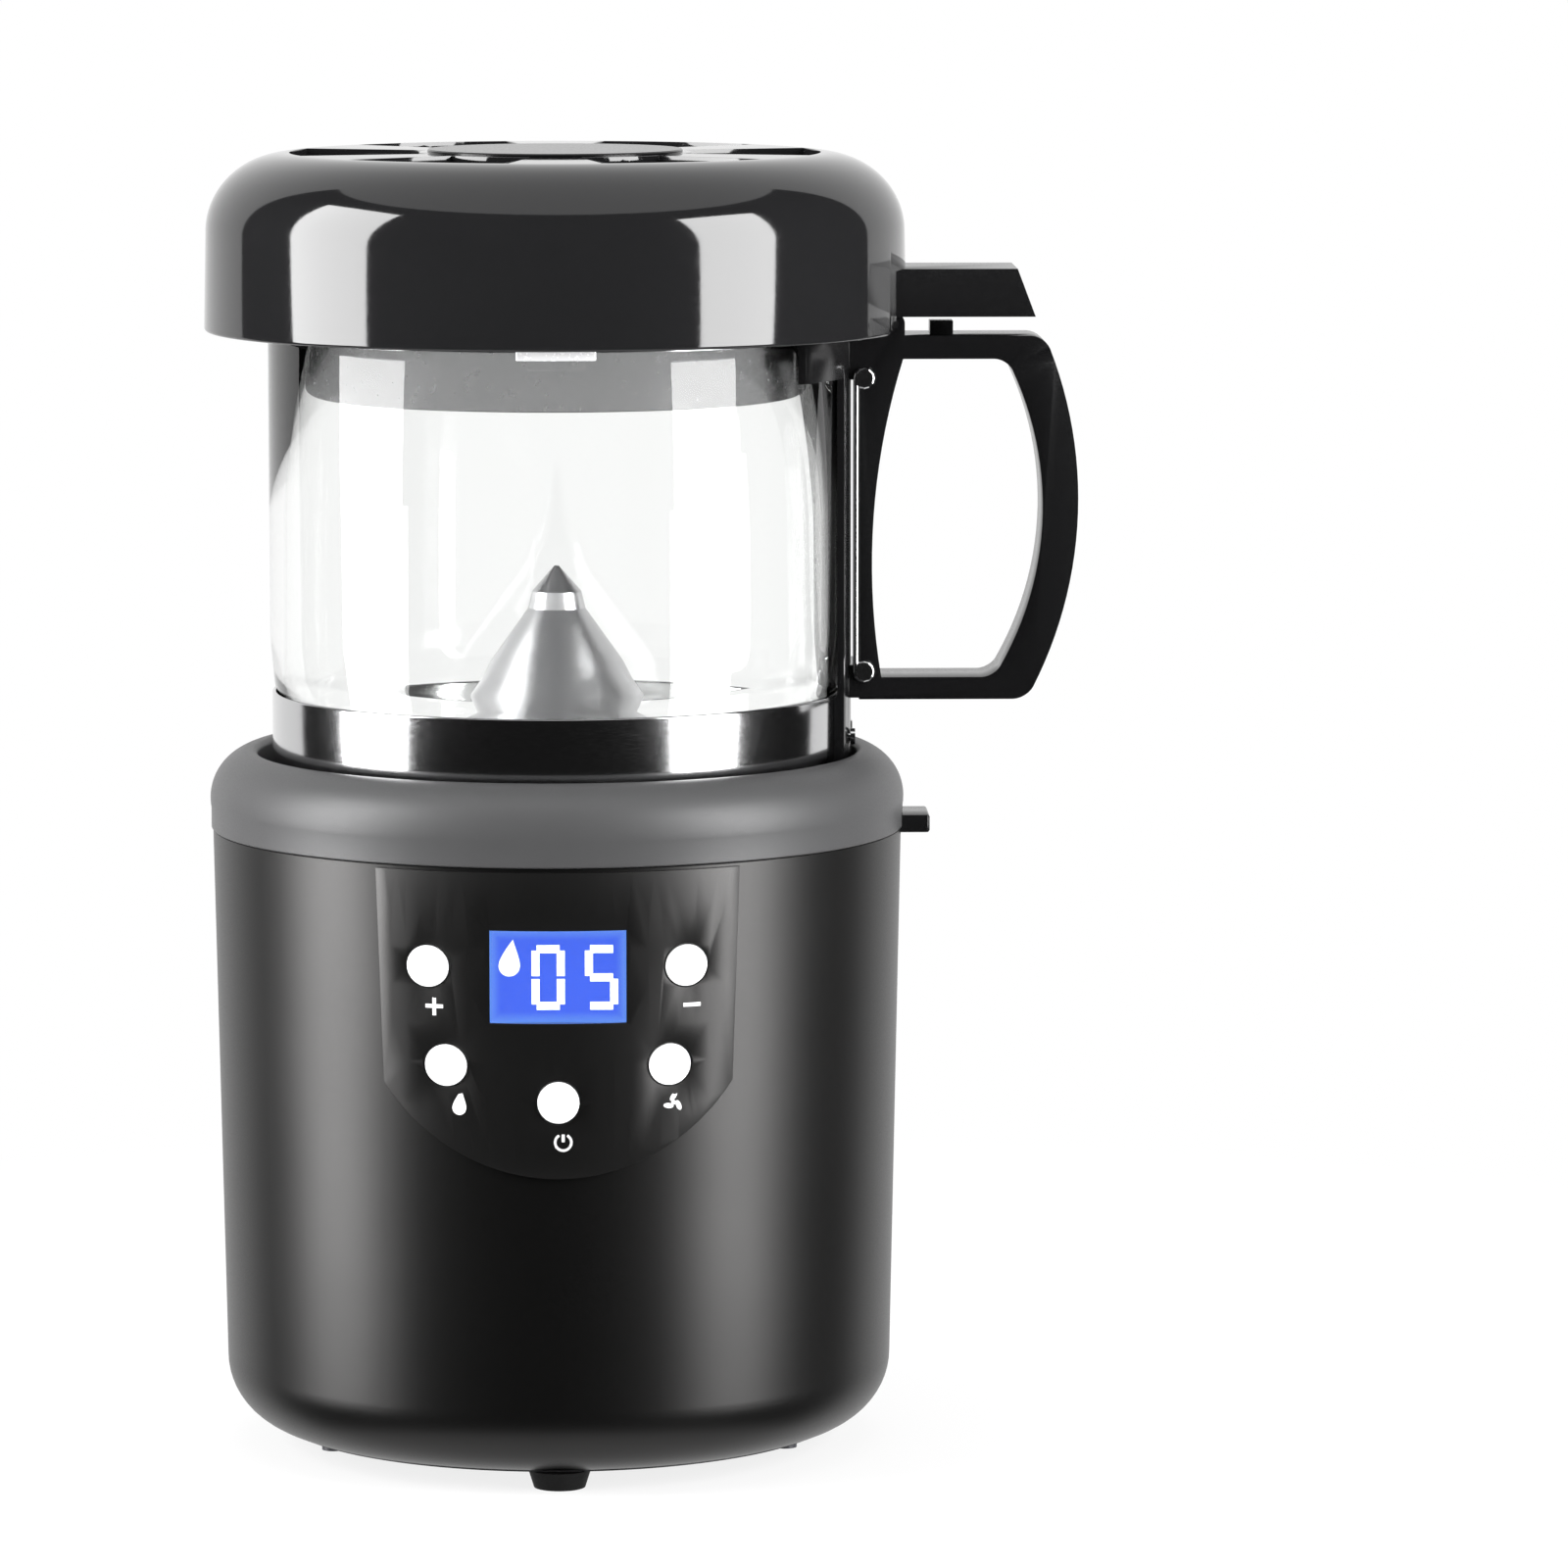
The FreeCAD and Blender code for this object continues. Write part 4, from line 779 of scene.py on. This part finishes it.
moulded = [
    {"node": "handle", "name": "handleGrip", "look": "satinBlack", "slot": "black_plastic", "body": "chamber",
     "bevel": 0.7,
     "corners": [{"low": 92.5, "high": 110.0, "radius": 4.2}, {"low": 83.5, "high": 91.5, "radius": 3.5}]},
    {"node": "lid_lever", "name": "thumbLever", "look": "satinBlack", "slot": "black_plastic", "body": "lid",
     "bevel": 0.5},
    {"node": "release_latch", "name": "latchTab", "look": "satinBlack", "slot": "black_plastic",
     "body": "release_latch", "bevel": 0.5},
    {"node": "control_panel", "name": "controlPanel", "look": "panelGray", "slot": "anthracite_body", "body": "base",
     "bevel": 0.45},
    {"node": "lid_clip", "name": "rimClip", "look": "chromeClip", "slot": "bright_steel", "body": "lid", "bevel": 0.3},
]
moulded += [
    {"node": name, "name": name.title().replace("_", ""), "look": "buttonWhite", "slot": "white_button", "body": name,
     "bevel": 0.5} for name in nodes if name.startswith("button_")
]


def buildMoulded():
    for m in moulded:
        copyFrom(m["node"], m["name"], m["look"], m["slot"], m["body"], m["bevel"], m.get("corners", ()))


buildMoulded()
print("handle, lever, latch, panel and buttons built")


# display figures and the signs under the buttons

panelShape = {"lowR": 81.6, "lowZ": 19.5, "topR": 84.2, "topZ": 152.0, "proud": 0.9, "print": 0.06}
screen = {"y": -80.93, "thick": 0.16, "digitH": 15.4, "digitW": 7.8, "bar": 1.9, "centers": (-2.3, 10.2), "z": 125.8,
          "text": "05", "flameX": -11.4, "flameZ": 128.6, "flameR": 2.5}
segments = {"0": "abcdef", "5": "acdfg"}


def addBar(x, y, z, wide, thick, tall, turn=0.0):
    deselectAll()
    bpy.ops.mesh.primitive_cube_add(size=1, location=(x * mm, y * mm, z * mm), rotation=(0, radians(turn), 0),
                                    scale=(wide * mm, thick * mm, tall * mm))
    return bpy.context.object


def joinAll(parts, name):
    deselectAll()
    for part in parts:
        part.select_set(True)
    bpy.context.view_layer.objects.active = parts[0]
    if len(parts) > 1:
        bpy.ops.object.join()
    bpy.ops.object.transform_apply(location=True, rotation=True, scale=True)
    parts[0].name = name
    return parts[0]


def addDisc(x, y, z, r, thick, sides=32):
    deselectAll()
    bpy.ops.mesh.primitive_cylinder_add(vertices=sides, radius=r * mm, depth=thick * mm,
                                        location=(x * mm, y * mm, z * mm), rotation=(pi / 2, 0, 0))
    return bpy.context.object


def addFlame(x, y, z, r, thick):
    # a drop with its point drawn up
    drop = addDisc(x, y, z, r, thick, 40)
    bpy.ops.object.transform_apply(location=True, rotation=True, scale=True)
    bpy.ops.object.mode_set(mode="EDIT")
    bpy.ops.mesh.select_all(action="DESELECT")
    bpy.ops.object.mode_set(mode="OBJECT")
    top = max(v.co.z for v in drop.data.vertices)
    for v in drop.data.vertices:
        v.select = v.co.z > top - 1e-6
    bpy.ops.object.mode_set(mode="EDIT")
    bpy.ops.transform.translate(value=(r * 0.35 * mm, 0, r * 1.5 * mm), use_proportional_edit=True,
                                proportional_edit_falloff="SHARP", proportional_size=r * 1.5 * mm)
    bpy.ops.object.mode_set(mode="OBJECT")
    return drop


def buildFigures():
    s = screen
    half = s["digitW"] / 2 - s["bar"] / 2
    quarter = s["digitH"] / 4 - s["bar"] / 4
    long = s["digitW"] - s["bar"] - 0.5
    tall = s["digitH"] / 2 - s["bar"] / 2 - 0.7
    place = {
        "a": (0, 2, 1), "g": (0, 0, 1), "d": (0, -2, 1), "b": (1, 1, 0), "c": (1, -1, 0), "e": (-1, -1, 0),
        "f": (-1, 1, 0),
    }
    for number, (digit, cx) in enumerate(zip(s["text"], s["centers"])):
        bars = []
        for key in segments[digit]:
            dx, dz, flat = place[key]
            wide, high = (long, s["bar"]) if flat else (s["bar"], tall)
            bars.append(addBar(cx + dx * half, s["y"], s["z"] + dz * quarter, wide, s["thick"], high))
        figure = joinAll(bars, "figure")
        wear(settle(figure, "figure" + str(number)), "base", "segmentWhite", "blue_display")
    flame = addFlame(s["flameX"], s["y"], s["flameZ"], s["flameR"], s["thick"])
    wear(settle(flame, "figureFlame"), "base", "segmentWhite", "blue_display")


def panelRadius(z):
    s = panelShape
    return s["lowR"] + (s["topR"] - s["lowR"]) * (z - s["lowZ"]) / (s["topZ"] - s["lowZ"]) + s["proud"]


def placeSign(parts, name, x, z):
    # built flat at x = 0, then turned about the axis onto the curved panel
    sign = joinAll(parts, name)
    r = panelRadius(z)
    sign.location = (0, -(r + panelShape["print"] / 2 - 0.02) * mm, z * mm)
    bpy.ops.object.transform_apply(location=True, rotation=True, scale=True)
    sign.rotation_euler.z = asin(x / r)
    bpy.ops.object.transform_apply(location=True, rotation=True, scale=True)
    wear(settle(sign, name), "base", "printWhite", "anthracite_body")


def buildSigns():
    t = panelShape["print"]
    placeSign([addBar(0, 0, 0, 4.4, t, 0.9), addBar(0, 0, 0, 0.9, t, 4.4)], "signPlus", -29.2, 118.8)
    placeSign([addBar(0, 0, 0, 4.4, t, 0.9)], "signMinus", 31.6, 118.8)
    placeSign([addFlame(0, 0, -0.9, 1.7, t)], "signFlame", -23.4, 95.6)
    blades = []
    for k in range(3):
        turn = radians(120 * k)
        blade = addDisc(0, 0, 0, 1.0, t, 24)
        blade.scale = (0.6, 1.25, 1)
        blade.location = (1.45 * sin(turn) * mm, 0, 1.45 * cos(turn) * mm)
        blade.rotation_euler = (pi / 2, turn + radians(38), 0)
        blades.append(blade)
    blades.append(addDisc(0, 0, 0, 0.55, t, 20))
    placeSign(blades, "signFan", 27.2, 95.6)
    arcs = [addBar(1.9 * sin(radians(a)), 0, 1.9 * cos(radians(a)), 0.8, t, 0.6, a) for a in range(42, 319, 12)]
    placeSign(arcs + [addBar(0, 0, 1.3, 0.7, t, 2.4)], "signPower", 1.1, 86.8)


buildFigures()
buildSigns()
print("display figures and signs built")


bpy.context.view_layer.update()
